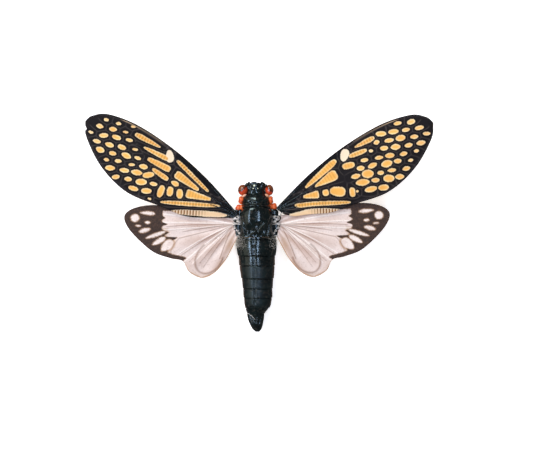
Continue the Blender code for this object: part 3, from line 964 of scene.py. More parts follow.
@dataclass
class Hindwing(Wing):
    """A hindwing: a pleated fan with a smoky end, pale windows and radiating veins."""

    length: float = 35.5
    rise: float = 0.022
    droop: float = 0.7
    root: Stations = ((-1.0, 1.5), (-1.05, 0), (-1.1, -1.8), (-1.0, -3.3))
    edge: Stations = ((0.5, 3), (14, 5.5), (28, 6.5), (35, 4), (34, -1), (27, -8), (21, -10.5), (17, -11.5),
                      (15, -15), (11, -17), (7, -15.5), (3, -11), (-0.5, -4.5))
    # The smoke starts at this reach. It runs inwards along some veins: angle, depth and spread.
    smoke_reach: float = 23.5
    teeth: Stations = ((6, 1.0, 1.2), (1, 1.8, 1.2), (-6, 2.0, 1.8), (-12, 4.5, 2.2), (-18, 1.5, 2.5))
    strip: float = 1.4
    windows: tuple[Pane, ...] = (
        Pane(32, 2.5, 1.5, 1.4, 0, 1.9), Pane(28, 4, 2.5, 0.7, 5, 2.0, -0.3), Pane(28, 1, 1, 0.6, 5, 1.8),
        Pane(31, 0, 1, 0.4, 5), Pane(29, -1.5, 2, 0.8, -14, 1.8), Pane(25.5, -3, 3.5, 0.7, -18, 1.9, -0.1),
        Pane(24.5, -5, 2.5, 0.9, -28, 1.9, -0.2), Pane(22, -6.5, 2.5, 1.5, -42, 1.9, -0.25))
    veins: tuple[Vein, ...] = (
        Vein(9, 23, 0.24, 0.4), Vein(1.5, 35, 0.16, 0.4), Vein(-3, 33, 0.15, -0.3),
        Vein(-13, 18.5, 0.14, 0, True),
        Vein(-27, 21.5, 0.15, 0.7), Vein(-35.5, 20, 0.17, 0.5), Vein(-42, 18.5, 0.12, 0.4),
        Vein(-1, 22, 0.12, 0.4, True), Vein(-7, 17, 0.11, 0.2, True), Vein(-29, 20, 0.12, 0.6, True),
        Vein(-38.5, 19, 0.1, 0.4, True), Vein(-47, 17, 0.09, 0.3, True), Vein(-53, 17, 0.09, 0.3, True),
        Vein(-66, 12, 0.15, 0.6, True))
    # The vein behind the smoke, and the cross-veins between its windows.
    cross: tuple[Stations, ...] = (((18, -4), (20, -6.5), (21, -9)), ((26.5, 5.5), (26.5, 0.5)),
                                   ((30, 5.5), (30, 0.5)))
    columns: int = 330
    rows: int = 110

    def height(self, out: np.ndarray, forward: np.ndarray) -> np.ndarray:
        """Finds how far the wing's middle surface is above its hinge.

        Args:
            out: how far out each place is.
            forward: how far forward it is.

        Returns:
            The heights.
        """
        reach = np.hypot(out, forward)
        inwards = np.clip(-np.degrees(np.arctan2(forward, out)) / 90, 0, 1)
        return self.rise * reach - self.droop * inwards * reach / self.length

    def marks(self, out: np.ndarray, forward: np.ndarray) -> dict[str, np.ndarray]:
        """Works out where the smoke, veins, folds and tan edges are.

        Args:
            out: how far out each point is.
            forward: how far forward it is.

        Returns:
            smoke, cream, brown, tan and fold, each a share.
        """
        flat = np.stack([out, forward], -1)
        rim = line_distance(flat, self.edge)
        angle, reach = np.degrees(np.arctan2(forward, np.maximum(out, 0.1))), np.hypot(out, forward)
        border = self.smoke_reach - sum(deep * np.exp(-((angle - at) / wide) ** 2)
                                        for at, deep, wide in self.teeth)
        far = np.minimum(reach - border, 0.6 * (angle + 24))
        hem = np.minimum(self.strip - rim, 0.6 * (angle + 34))
        far = np.maximum(far, np.where(out > 15, hem, -9))
        top = step(out, 19, 24) * (1.25 - rim) * step(forward, 2.0, 3.5) - step(out, 24, 19) * 2
        far = np.maximum(far, np.where((forward > 2) & (out > 17), top, -9))
        clear = np.full(out.shape, 9.0)
        for pane in self.windows:
            clear = np.minimum(clear, pane.gap(out, forward)[0])
        smoke = step(far, -0.35, 0.35) * step(clear, -0.5, 0.4)
        cream, brown, rise = np.zeros(out.shape), np.zeros(out.shape), np.zeros(out.shape)
        for vein in self.veins:
            gap = line_distance(flat, vein.line())
            on = np.exp(-(gap / vein.width) ** 2)
            rise = np.maximum(rise, on)
            if vein.brown:
                brown = np.maximum(brown, on)
            else:
                cream = np.maximum(cream, on)
        for line, width in ((loop_vein(), 0.34), *((cross, 0.13) for cross in self.cross)):
            on = np.exp(-(line_distance(flat, line) / width) ** 2)
            rise, brown = np.maximum(rise, on), np.maximum(brown, on)
        lobe = step(forward, -9.5, -12) * step(out, 17.5, 16.0)
        streaks = 0.5 + 0.5 * np.cos((out * 0.9 - forward) * 2 * math.pi / 0.9)
        tan = np.exp(-(rim / 0.2) ** 2) * 0.8 + lobe * step(rim, 1.9, 0.4) * (0.12 + 0.2 * streaks)
        warm = np.exp(-(((out - 1.5) / 1.6) ** 2 + ((forward + 6.5) / 3.0) ** 2)) * 0.55
        turn = np.degrees(np.arctan2(forward, out + 1.5))
        fold = (0.5 + 0.5 * np.cos(np.radians(turn * 18 + 40 * np.sin(out * 0.25)))) * 0.6
        cream = np.where(far > 0, step(clear, 0.1, -0.3) * 0.35, cream)
        return {"smoke": smoke, "cream": np.clip(cream, 0, 1) * 0.85, "brown": np.clip(brown, 0, 1) * 0.6,
                "tan": np.clip(tan + warm + step(clear, -0.25, 0.1) * step(clear, 0.9, 0.3) * 0.75, 0, 1),
                "fold": fold * step(np.hypot(out, forward), 24, 9), "rise": rise}

    def build(self, finish: bpy.types.Material) -> bpy.types.Object:
        """Builds the wing.

        Args:
            finish: its material.

        Returns:
            The piece.
        """
        root = smooth_line(self.root, self.columns)[:, None]
        edge = smooth_line(self.edge, self.columns)[:, None]
        share = np.linspace(0, 1, self.rows)[None, :, None]
        flat = root * (1 - share) + edge * share
        out, forward = flat[..., 0], flat[..., 1]
        marks = self.marks(out, forward)
        turn = np.degrees(np.arctan2(forward, out + 1.5))
        pleat = 0.16 * np.cos(np.radians(turn * 18)) * step(np.hypot(out, forward), 1, 12)
        rim = line_distance(flat, self.edge)
        height = self.height(out, forward) + pleat * (0.4 + 0.6 * step(rim, 0, 4))
        thick = (self.thickness / 2 + 0.03 * marks["rise"]) * (0.4 + 0.6 * step(rim, 0, 0.25))
        relief = 0.09 * marks.pop("rise")
        top = self.place(out, forward, height + thick + relief)
        under = self.place(out, forward, height - thick + relief * 0.4)
        name = "hindwing_" + self.side.label
        return piece(name, [sheet(top, under, marks)], finish, [name], 180)


# ---------------------------------------------------------------- what grows and repeats

@dataclass
class Growth:
    """A Geometry Nodes tree with named inputs, which ends in real geometry in one finish.

    inputs holds a number, or the material "Finish", for each name.
    """

    name: str
    inputs: dict[str, object]

    def __post_init__(self) -> None:
        """Makes the tree's sockets."""
        self.tree = bpy.data.node_groups.new(self.name, "GeometryNodeTree")
        face = self.tree.interface
        for way in ("INPUT", "OUTPUT"):
            face.new_socket("Geometry", in_out=way, socket_type="NodeSocketGeometry")
        kinds = {float: "NodeSocketFloat", int: "NodeSocketInt", bpy.types.Material: "NodeSocketMaterial"}
        self.keys = {name: face.new_socket(name, in_out="INPUT", socket_type=kinds[type(value)]).identifier
                     for name, value in self.inputs.items()}
        self.entry = add(self.tree, "NodeGroupInput").outputs

    def node(self, kind: str, inputs: dict | None = None,
             **settings: object) -> bpy.types.bpy_prop_collection:
        """Adds a node to the tree and gives its outputs."""
        return add(self.tree, kind, inputs, **settings).outputs

    def finish(self, geometry: bpy.types.NodeSocket) -> None:
        """Ends the tree: instances made real, and the finish set.

        Args:
            geometry: what the tree made.
        """
        real = self.node("GeometryNodeRealizeInstances", {"Geometry": geometry})[0]
        dressed = self.node("GeometryNodeSetMaterial",
                            {"Geometry": real, "Material": self.entry["Finish"]})[0]
        self.node("NodeGroupOutput", {"Geometry": dressed})

    def grown(self, host: bpy.types.Mesh) -> bpy.types.Mesh:
        """Runs the tree on a mesh.

        Args:
            host: what it grows on.

        Returns:
            A plain mesh.
        """
        holder = bpy.data.objects.new(self.name, host)
        bpy.context.scene.collection.objects.link(holder)
        live = holder.modifiers.new(self.name, "NODES")
        live.node_group = self.tree
        for name, value in self.inputs.items():
            live[self.keys[name]] = value
        depsgraph = bpy.context.evaluated_depsgraph_get()
        made = bpy.data.meshes.new_from_object(holder.evaluated_get(depsgraph), depsgraph=depsgraph)
        holder.modifiers.remove(live)
        bpy.data.objects.remove(holder)
        made.shade_smooth()
        return made


def bare_mesh(shells: Iterable[Shell], mark: str = "") -> bpy.types.Mesh:
    """Makes a host mesh in metres with one mark, for a growth.

    Args:
        shells: the shells that it joins.
        mark: the mark that it carries, if any.

    Returns:
        The mesh.
    """
    found = list(shells)
    mesh = bpy.data.meshes.new("host")
    start = np.cumsum([0, *[len(s.points) for s in found]])
    faces = [f for first, s in zip(start, found) for f in [*(s.quads + first).tolist(),
                                                           *(s.tris + first).tolist()]]
    mesh.from_pydata((np.vstack([s.points for s in found]) * MM).tolist(), [], faces)
    for name in filter(None, [mark]):
        values = np.concatenate([s.marks[name] for s in found]).astype(np.float32)
        mesh.attributes.new(name, "FLOAT", "POINT").data.foreach_set("value", values)
    mesh.shade_smooth()
    return mesh


def hairs(name: str, shells: Iterable[Shell], finish: bpy.types.Material, density: float,
          length: float, radius: float, comb: tuple[float, float, float], seed: int) -> bpy.types.Object:
    """Grows fine hairs on skins, as dense as their mark "hairy" says.

    Args:
        name: the piece's name.
        shells: the skins that they grow on.
        finish: their material.
        density: hairs per square millimetre where hairy is 1.
        length: of the longest, in millimetres.
        radius: at the root, in millimetres.
        comb: the way that they are combed, against a normal of length 1.
        seed: fixes their places.

    Returns:
        The piece.
    """
    growth = Growth("Hairs", {"Density": density / MM ** 2, "Length": length * MM, "Radius": radius * MM,
                              "Comb X": comb[0], "Comb Y": comb[1], "Comb Z": comb[2], "Seed": seed,
                              "Finish": finish})
    get, node = growth.entry, growth.node
    hairy = node("GeometryNodeInputNamedAttribute", {"Name": "hairy"})["Attribute"]
    many = node("ShaderNodeMath", {0: hairy, 1: get["Density"]}, operation="MULTIPLY")[0]
    spots = node("GeometryNodeDistributePointsOnFaces", {"Mesh": get["Geometry"], "Density": many,
                                                         "Seed": get["Seed"]})
    cone = node("GeometryNodeMeshCone", {"Vertices": 4, "Radius Top": 0.0, "Radius Bottom": get["Radius"],
                                         "Depth": get["Length"]})["Mesh"]
    comb_vector = node("ShaderNodeCombineXYZ", {0: get["Comb X"], 1: get["Comb Y"], 2: get["Comb Z"]})[0]
    low, high = (-0.35,) * 3, (0.35,) * 3
    stray = node("FunctionNodeRandomValue", {"Min": low, "Max": high, "Seed": get["Seed"]},
                 data_type="FLOAT_VECTOR")["Value"]
    lean = node("ShaderNodeVectorMath", {0: comb_vector, 1: stray}, operation="ADD")[0]
    aim = node("ShaderNodeVectorMath", {0: lean, 1: spots["Normal"]}, operation="ADD")[0]
    turned = node("FunctionNodeAlignRotationToVector", {"Vector": aim}, axis="Z")[0]
    size = node("FunctionNodeRandomValue", {2: 0.45, 3: 1.0, "Seed": get["Seed"]})[1]
    growth.finish(node("GeometryNodeInstanceOnPoints", {"Points": spots["Points"], "Instance": cone,
                                                        "Rotation": turned, "Scale": size})[0])
    return shown(name, growth.grown(bare_mesh(shells, "hairy")), ())


def spines(name: str, lines: Sequence[np.ndarray], finish: bpy.types.Material, spacing: float,
           length: float, radius: float, lean: float) -> bpy.types.Object:
    """Sets stiff spines along lines, such as those under a shin.

    Args:
        name: the piece's name.
        lines: each line's points, in millimetres, with the spine's direction in columns 3 to 5.
        finish: their material.
        spacing: between spines, in millimetres.
        length: of a spine, in millimetres.
        radius: at its root, in millimetres.
        lean: how far a spine leans along the line.

    Returns:
        The piece.
    """
    growth = Growth("Spines", {"Spacing": spacing * MM, "Length": length * MM, "Radius": radius * MM,
                               "Lean": lean, "Finish": finish})
    get, node = growth.entry, growth.node
    curve = node("GeometryNodeMeshToCurve", {"Mesh": get["Geometry"]})[0]
    evenly = node("GeometryNodeResampleCurve", {"Curve": curve, "Length": get["Spacing"]}, mode="LENGTH")[0]
    cone = node("GeometryNodeMeshCone", {"Vertices": 6, "Radius Top": 0.0, "Radius Bottom": get["Radius"],
                                         "Depth": get["Length"]})["Mesh"]
    out = node("GeometryNodeInputNamedAttribute", {"Name": "out"}, data_type="FLOAT_VECTOR")["Attribute"]
    along = node("ShaderNodeVectorMath", {0: node("GeometryNodeInputTangent")[0], "Scale": get["Lean"]},
                 operation="SCALE")[0]
    aim = node("ShaderNodeVectorMath", {0: along, 1: out}, operation="ADD")[0]
    turned = node("FunctionNodeAlignRotationToVector", {"Vector": aim}, axis="Z")[0]
    growth.finish(node("GeometryNodeInstanceOnPoints", {"Points": evenly, "Instance": cone,
                                                        "Rotation": turned})[0])
    host = bpy.data.meshes.new("host")
    points = np.vstack(lines)
    start = np.cumsum([0, *[len(line) for line in lines]])
    edges = [(i, i + 1) for first, line in zip(start, lines) for i in range(first, first + len(line) - 1)]
    host.from_pydata((points[:, :3] * MM).tolist(), edges, [])
    host.attributes.new("out", "FLOAT_VECTOR", "POINT").data.foreach_set(
        "vector", points[:, 3:6].astype(np.float32).ravel())
    return shown(name, growth.grown(host), ())


# ---------------------------------------------------------------- body

Relief = Callable[[np.ndarray, np.ndarray, np.ndarray], np.ndarray]


def ridge(x: np.ndarray, y: np.ndarray, line: Stations, width: float, height: float) -> np.ndarray:
    """A ridge along a line seen from above, or a groove if its height is negative."""
    return height * np.exp(-(line_distance(np.stack([x, y], -1), line) / width) ** 2)


def knob(x: np.ndarray, y: np.ndarray, at: tuple[float, float], size: tuple[float, float],
         height: float) -> np.ndarray:
    """A round rise seen from above, or a pit if its height is negative."""
    return height * np.exp(-(((x - at[0]) / size[0]) ** 2 + ((y - at[1]) / size[1]) ** 2))


def profile(stations: Stations, count: int) -> np.ndarray:
    """Spaces stations evenly from front to rear, on smooth curves through the given ones.

    Args:
        stations: the given stations, front first.
        count: how many to return.

    Returns:
        An array of count rows.
    """
    line = smooth_line(stations, 400)[::-1]
    y = np.linspace(line[-1, 0], line[0, 0], count)
    return np.column_stack([y, *[np.interp(y, line[:, 0], line[:, k]) for k in range(1, line.shape[1])]])


@dataclass
class Segment:
    """A length of the body: rounded sections along the middle line, with relief on its skin.

    stations are (y, half width, lowest z, highest z, z of the widest point). A half section has its flat
    side at shelf: a back (crown above it) or a belly (crown below it), with stations (y, half width, crown).
    """

    name: str
    stations: Stations
    relief: Relief | None = None
    shelf: float | None = None
    power: float = 0.9
    sides: int = 96
    count: int = 60
    thin: Relief | None = None
    hairy: Relief | None = None
    bow: Relief | None = None

    def shell(self) -> Shell:
        """Builds the skin, with its marks thin and hairy."""
        table = profile(self.stations, self.count)
        angle = np.linspace(0, 2 * math.pi, self.sides, endpoint=False)[None, :]
        y, half = table[:, :1], table[:, 1:2]
        across = np.sign(np.cos(angle)) * np.abs(np.cos(angle)) ** self.power
        up = np.sign(np.sin(angle)) * np.abs(np.sin(angle)) ** self.power
        if self.shelf is None:
            low, high, widest = table[:, 2:3], table[:, 3:4], table[:, 4:5]
            z = widest + np.where(up > 0, high - widest, widest - low) * up
        else:
            z = self.shelf + (table[:, 2:3] - self.shelf) * np.maximum(up, 0)
        x = half * across + 0 * z
        y = y + 0 * z
        rings = np.stack([x, y, z], -1)
        if self.relief is not None:
            rings = raised(rings, self.relief(x, y, z))
        rings[..., 0] += midline(rings[..., 1])
        rings[..., 1] += self.bow(x, y, z) if self.bow is not None else 0
        rings[..., 2] = np.maximum(rings[..., 2], 0.0)
        marks = {n: f(x, y, z) for n, f in (("thin", self.thin), ("hairy", self.hairy)) if f is not None}
        return loft(rings, marks)


@dataclass
class Head:
    """The head: a black shield between two eyes, with knobs at its front edge, a ribbed face and a beak."""

    stations: Stations = ((8.85, 2.9, 5.2, 9.9, 8.0), (9.62, 3.1, 4.6, 10.2, 8.0),
                          (10.6, 3.1, 4.0, 10.4, 8.2), (11.6, 3.2, 3.7, 10.2, 8.1),
                          (12.1, 3.1, 3.8, 9.8, 7.9), (12.45, 2.5, 4.1, 9.3, 7.6),
                          (12.65, 1.6, 4.8, 8.7, 7.2),
                          (12.75, 0.7, 5.6, 8.0, 7.0))
    eye: tuple[float, float, float] = (4.0, 10.5, 8.3)
    eye_radii: tuple[float, float, float] = (1.65, 1.75, 1.85)

    def relief(self, x: np.ndarray, y: np.ndarray, z: np.ndarray) -> np.ndarray:
        """Raises knobs and grooves on top, and ribs across the face below.

        Args:
            x, y, z: the places.

        Returns:
            How far out the surface moves.
        """
        top = step(z, 7.2, 8.4)
        knobs = (knob(x, y, (-2.7, 11.4), (0.5, 0.7), 0.25) + knob(x, y, (2.7, 11.4), (0.5, 0.7), 0.25)
                 + knob(x, y, (0, 10.7), (1.1, 0.6), 0.22) + knob(x, y, (0, 11.75), (0.7, 0.55), 0.25)
                 - knob(x, y, (-1.6, 11.7), (0.5, 0.6), 0.3) - knob(x, y, (1.6, 11.7), (0.5, 0.6), 0.3))
        grooves = (ridge(x, y, ((-2.6, 10.2), (-1.4, 10.9), (-0.9, 11.5)), 0.18, -0.22)
                   + ridge(x, y, ((2.6, 10.2), (1.4, 10.9), (0.9, 11.5)), 0.18, -0.22)
                   + ridge(x, y, ((-3.0, 9.9), (-1.6, 10.4), (-0.4, 10.75)), 0.13, 0.2)
                   + ridge(x, y, ((0, 12.3), (0, 11.9)), 0.3, -0.2))
        face = step(z, 7.4, 6.6) * step(y, 11.2, 12.2)
        ribs = 0.1 * np.cos(z * 2 * math.pi / 0.55) * step(np.abs(x), 2.0, 1.2)
        return top * (knobs + grooves) + face * (0.12 * step(np.abs(x), 2.2, 0.6) + ribs)

    def build(self, black: bpy.types.Material, cornea: bpy.types.Material, bead: bpy.types.Material,
              peach: bpy.types.Material) -> None:
        """Builds the head's pieces.

        Args:
            black: the shell's material.
            cornea: the eyes'.
            bead: the simple eyes'.
            peach: the soft skin's behind the eyes.
        """
        middle = float(midline(self.eye[1]))
        knobs = [ball((middle + x, y, z), (rx, ry, rz), 28, 18) for x, y, z, rx, ry, rz in (
            (-2.6, 12.15, 8.8, 0.75, 0.6, 0.85), (-0.55, 12.55, 8.6, 1.05, 0.62, 0.9),
            (0.75, 12.4, 8.5, 0.7, 0.5, 0.8), (2.4, 12.3, 8.8, 0.72, 0.62, 0.85),
            (-3.2, 11.8, 8.6, 0.5, 0.5, 0.7), (3.25, 11.85, 8.6, 0.55, 0.5, 0.7))]
        piece("head", [Segment("head", self.stations, self.relief, sides=112, count=64).shell(), *knobs],
              black,
              ["head"])
        for side, beyond, radius in ((Side.LEFT, 4.05, 1.6), (Side.RIGHT, 4.4, 1.35)):
            centre, radii = (middle + side.value * beyond, *self.eye[1:]), (radius, *self.eye_radii[1:])
            shell = ball(centre, radii, 64, 44)
            local = (shell.points - centre) / radii
            out = local[:, 0] * side.value
            # The dried part of each eye is the half towards the front and the outside.
            shell.marks["dry"] = 0.42 + 0.42 * (0.72 * local[:, 1] + 0.45 * out + 0.25 * (local[:, 2] - 0.6))
            socket = tube([(middle + side.value * p[0], *p[1:]) for p in (
                (3.0, 9.1, 8.9, 0.3), (3.7, 8.65, 9.0, 0.42), (4.4, 8.4, 8.7, 0.3))], 16, 20)
            piece("eye_" + side.label, [shell], cornea, ["eye_" + side.label], 180)
            piece("eye_socket_" + side.label, [socket], peach, (), 180)
        ocelli = {"ocellus_left": (-0.7, 10.95, 10.6), "ocellus_right": (0.7, 10.95, 10.6),
                  "ocellus_front": (-0.35, 11.85, 10.35)}
        for name, (x, y, z) in ocelli.items():
            at = (float(midline(y)) + x, y, z)
            size = 0.36 if name == "ocellus_front" else 0.2
            piece(name, [ball(at, (size, size, 0.26), 20, 12)], bead, [name], 180)
        beak = tube([(float(midline(y)), y, z, r) for y, z, r in (
            (10.9, 3.1, 0.62), (9.6, 2.75, 0.5), (7.4, 2.35, 0.42), (5.0, 2.1, 0.36), (3.4, 2.0, 0.2))], 20,
            40,
            lambda s, a: (1 + 0.1 * np.exp(-((s - 0.35) / 0.03) ** 2)
                          - 0.18 * np.exp(-(np.sin(a) - 1) ** 2 / 0.05)))
        piece("beak", [beak], black, ["beak"])
        for side in Side:
            feeler = [(float(midline(y)) + side.value * x, y, z, r) for x, y, z, r in (
                (2.0, 12.95, 5.0, 0.26), (2.2, 13.05, 4.3, 0.22), (2.35, 12.9, 3.4, 0.12),
                (2.45, 12.4, 2.5, 0.08),
                (2.4, 11.7, 1.9, 0.05))]
            rings = tube(feeler, 12, 60, lambda s, a: 1 + 0.18 * np.cos(s * 2 * math.pi * 7) + 0 * a)
            piece("antenna_" + side.label, [rings], black, ["antenna_" + side.label])


@dataclass
class Thorax:
    """The thorax: collar, back plate with its crossed ridges, belly, lobes, hinge plates and covers."""

    collar: Stations = ((9.5, 3.3, 5.6, 9.8, 8.2), (8.9, 3.8, 5.0, 10.7, 8.3), (8.1, 4.35, 4.7, 11.3, 8.4),
                        (7.3, 4.55, 4.6, 11.7, 8.5), (6.6, 4.5, 4.6, 12.0, 8.6), (6.0, 4.5, 4.6, 12.2, 8.6),
                        (5.25, 4.35, 4.8, 12.25, 8.6))
    back: Stations = ((5.38, 4.1, 12.2), (4.6, 4.7, 12.8), (3.2, 5.2, 13.2), (1.4, 5.35, 13.3),
                      (-0.4, 5.2, 12.9),
                      (-1.8, 5.1, 12.2), (-3.2, 5.3, 11.7), (-4.4, 5.6, 11.4))
    belly: Stations = ((5.38, 4.0, 3.8), (4.4, 4.7, 3.1), (2.6, 5.2, 2.8), (0.6, 5.3, 2.7), (-1.6, 5.2, 2.8),
                       (-3.2, 5.3, 3.1), (-4.4, 5.5, 3.4))

    def collar_bow(self, x: np.ndarray, y: np.ndarray, z: np.ndarray) -> np.ndarray:
        """How far the collar's rings swing to the rear at its sides."""
        return -0.75 * (np.abs(x) / 4.4) ** 2 * step(z, 7.5, 9.5)

    def back_bow(self, x: np.ndarray, y: np.ndarray, z: np.ndarray) -> np.ndarray:
        """How far the back plate's front edge swings to the rear at its sides."""
        return -0.75 * (np.abs(x) / 4.4) ** 2 * step(y, 3.0, 5.4)

    def collar_relief(self, x: np.ndarray, y: np.ndarray, z: np.ndarray) -> np.ndarray:
        """Shapes the collar's slanting grooves, middle rise and raised rear lip.

        Args:
            x, y, z: the places.

        Returns:
            How far out the surface moves.
        """
        top = step(z, 8.4, 9.4)
        lip = 0.3 * np.exp(-((y - 5.55) / 0.3) ** 2) - 0.25 * np.exp(-((y - 6.3) / 0.3) ** 2)
        cuts = sum(ridge(x, y, ((s * 3.6, 9.0), (s * 2.3, 7.9), (s * 1.1, 7.3)), 0.2, -0.3)
                   + ridge(x, y, ((s * 4.2, 7.3), (s * 3.0, 6.7), (s * 1.6, 6.6)), 0.2, -0.28)
                   + knob(x, y, (s * 2.6, 7.3), (0.8, 0.5), 0.22) for s in (-1, 1))
        middle = knob(x, y, (0.1, 7.6), (0.45, 1.3), 0.14) + knob(x, y, (-0.3, 6.9), (0.35, 0.25), 0.16)
        return top * (lip + cuts + middle)

    def back_relief(self, x: np.ndarray, y: np.ndarray, z: np.ndarray) -> np.ndarray:
        """Shapes the back plate's faint grooves and, at its rear, the crossed ridges round their pit.

        Args:
            x, y, z: the places.

        Returns:
            How far out the surface moves.
        """
        top = step(z, 8.7, 10.2)
        cross = (ridge(x, y, ((-2.5, 0.1), (-1.4, -1.1), (-0.1, -2.5)), 0.15, 0.3)
                 + ridge(x, y, ((2.6, 0.0), (1.5, -1.3), (0.55, -3.1)), 0.15, 0.3)
                 + ridge(x, y, ((-0.1, -2.5), (-1.1, -3.2), (-2.2, -4.2)), 0.16, 0.25)
                 + ridge(x, y, ((0.55, -3.1), (1.4, -3.6), (2.4, -4.2)), 0.16, 0.25))
        pits = (knob(x, y, (0.2, -0.75), (1.1, 0.7), -0.3) + knob(x, y, (-2.0, -2.4), (0.6, 0.9), -0.2)
                + knob(x, y, (2.1, -2.5), (0.6, 0.9), -0.2) + knob(x, y, (0.1, -3.9), (0.8, 0.5), -0.2))
        sides = sum(ridge(x, y, ((s * 4.7, 1.6), (s * 3.9, -0.4), (s * 3.3, -3.9)), 0.25, -0.3)
                    + ridge(x, y, ((s * 4.4, -0.9), (s * 3.8, -3.8)), 0.2, 0.2)
                    for s in (-1, 1))
        return top * (cross + pits + sides)

    def belly_relief(self, x: np.ndarray, y: np.ndarray, z: np.ndarray) -> np.ndarray:
        """Seams between the plates of the sides and belly."""
        seams = sum(0.22 * -np.exp(-((y - at) / 0.2) ** 2) for at in (4.0, 1.0, -2.2))
        return step(z, 8.4, 7.6) * (seams + ridge(x, y, ((0, 5), (0, -4)), 0.3, -0.25))

    def hinge_plates(self, side: Side) -> list[Shell]:
        """Makes the pale little plates and cords that join the wings on one side.

        Args:
            side: the side.

        Returns:
            Their shells.
        """
        plates = ((6.4, 1.55, 8.95, 1.25, 0.72, 0.42, -20), (5.8, 0.35, 8.9, 0.7, 0.42, 0.36, 15),
                  (7.1, -0.5, 8.7, 0.55, 0.35, 0.3, 0), (6.95, -1.6, 8.55, 0.52, 0.38, 0.3, 45),
                  (6.1, -2.55, 8.6, 0.55, 0.36, 0.3, 45), (5.5, -3.35, 8.65, 0.42, 0.34, 0.28, 45),
                  (7.5, 2.55, 9.25, 0.5, 0.42, 0.34, 10), (8.3, 3.2, 9.6, 0.22, 0.2, 0.2, 0),
                  (8.8, 2.5, 9.5, 0.3, 0.24, 0.2, 0))
        shells = []
        for x, y, z, rx, ry, rz, turn in plates:
            shell = ball((0, 0, 0), (rx, ry, rz), 28, 20)
            turn = math.radians(turn) * side.value
            x0, y0 = shell.points[:, 0].copy(), shell.points[:, 1].copy()
            dent = 1 - 0.16 * np.cos(3 * np.arctan2(y0, x0) + x)
            shell.points[:, 0] = (x0 * math.cos(turn) - y0 * math.sin(turn)) * dent
            shell.points[:, 1] = (x0 * math.sin(turn) + y0 * math.cos(turn)) * dent
            shell.points += (float(midline(y)) + side.value * x, y, z)
            shells.append(shell)
        cords = (((5.2, -0.5, 8.95, 0.14), (6.2, -0.35, 9.0, 0.18), (7.6, 0.2, 8.75, 0.16)),
                 ((5.1, -4.1, 8.6, 0.12), (6.0, -4.2, 8.5, 0.18), (6.9, -4.0, 8.2, 0.12)))
        for cord in cords:
            shells.append(tube([(float(midline(y)) + side.value * x, y, z, r) for x, y, z, r in cord], 12, 24,
                               lambda s, a: 1 + 0.12 * np.cos(s * 60) + 0 * a))
        return shells

    def build(self, black: bpy.types.Material, matt: bpy.types.Material, orange: bpy.types.Material,
              pale: bpy.types.Material, down: bpy.types.Material) -> None:
        """Builds the thorax's pieces.

        Args:
            black: the shells' material.
            matt: the underside's.
            orange: the lobes'.
            pale: the hinge plates'.
            down: the hairs'.
        """
        collar = Segment("pronotum", self.collar, self.collar_relief, sides=160, count=90,
                         bow=self.collar_bow)
        piece("pronotum", [collar.shell()], black, ["pronotum"])
        back = Segment("mesonotum", self.back, self.back_relief, 8.62, 0.82, 192, 150, bow=self.back_bow)
        piece("mesonotum", [back.shell()], black, ["mesonotum"])
        edge = [(float(midline(-4.55)) + x, -4.6, 11.45 - 0.05 * x * x, 0.065) for x in np.linspace(-4.2,
                                                                                                    4.2, 15)]
        piece("back_hem", [tube(edge, 12, 60)], Plain("Soft skin, tan", "#453626", "#6e5a42", 0.5).made(), (),
              180)
        belly = Segment("thorax", self.belly, self.belly_relief, 8.5, 0.8, hairy=lambda x, y,
                        z: step(z, 8.2, 6.5))
        piece("thorax", [belly.shell()], matt, ["thorax"])
        for side in Side:
            s = side.value
            wide = 0.95 if side is Side.LEFT else 0.8
            collar = ball((float(midline(7.1)) + s * 4.7, 7.2, 8.4), (wide, 1.35, 1.3), 40, 28)
            collar.points += (0.1 * np.sin(collar.points[:, [1]] * 4)) * (s, 0, 0)
            piece("collar_lobe_" + side.label, [collar], orange, (), 180)
            high = 4.75 if side is Side.LEFT else 5.2
            lobe = ball((float(midline(5.0)) + s * 5.65, high, 7.9), (1.05, 1.15, 1.05), 40, 28)
            lobe.points += (0.12 * np.sin(lobe.points[:, [1]] * 3 + 1)) * (s, 0, 0.4)
            root = ball((float(midline(5.0)) + s * 4.65, high + 0.1, 8.1), (0.9, 0.95, 0.9), 28, 18)
            name = "shoulder_lobe_" + side.label
            piece(name, [lobe, root], orange, [name], 180)
            name = "wing_hinge_" + side.label
            piece(name, self.hinge_plates(side), pale, [name], 60)
            plate = profile(((-3.0, 0.35, 3.35, 0), (-3.6, 0.4, 4.2, 0), (-4.6, 0.45, 4.6, 0),
                             (-5.6, 0.5, 4.1, 0),
                             (-6.1, 0.7, 3.5, 0)), 24)
            inner, outer = plate[:, 1:2], plate[:, 2:3]
            share = np.linspace(0, 1, 30)[None, :]
            x = inner + (outer - inner) * share
            y = plate[:, :1] + 0 * x
            fall = -0.5 * (-3.0 - y) * 0.55
            bulge = 0.25 * np.sin(math.pi * share) * np.sin(math.pi * np.linspace(0, 1, 24)[:, None])
            spots = [np.stack([midline(y) + s * x, y, z + fall - bulge], -1) for z in (2.34, 2.12)]
            grounds = [ball((float(midline(y)) + s * x, y, z), (rx, ry, 0.5), 28, 20) for x, y, z, rx, ry in (
                (5.9, 1.6, 8.3, 1.9, 1.6), (6.1, -0.9, 8.1, 1.4, 1.9), (5.8, -3.0, 8.0, 1.1, 1.6),
                (5.6, 3.4, 8.4, 1.5, 1.15))]
            grounds.append(ball((float(midline(1.7)) + s * 6.3, 1.7, 9.3), (0.3, 0.24, 0.16), 20, 14))
            piece("wing_root_" + side.label, grounds, black, (), 180)
            name = "operculum_" + side.label
            piece(name, [sheet(spots[0], spots[1], {})], matt, [name], 60)
        hairs("thorax_down", [belly.shell()], down, 5.0, 0.6, 0.022, (0, -0.7, -0.2), 3)


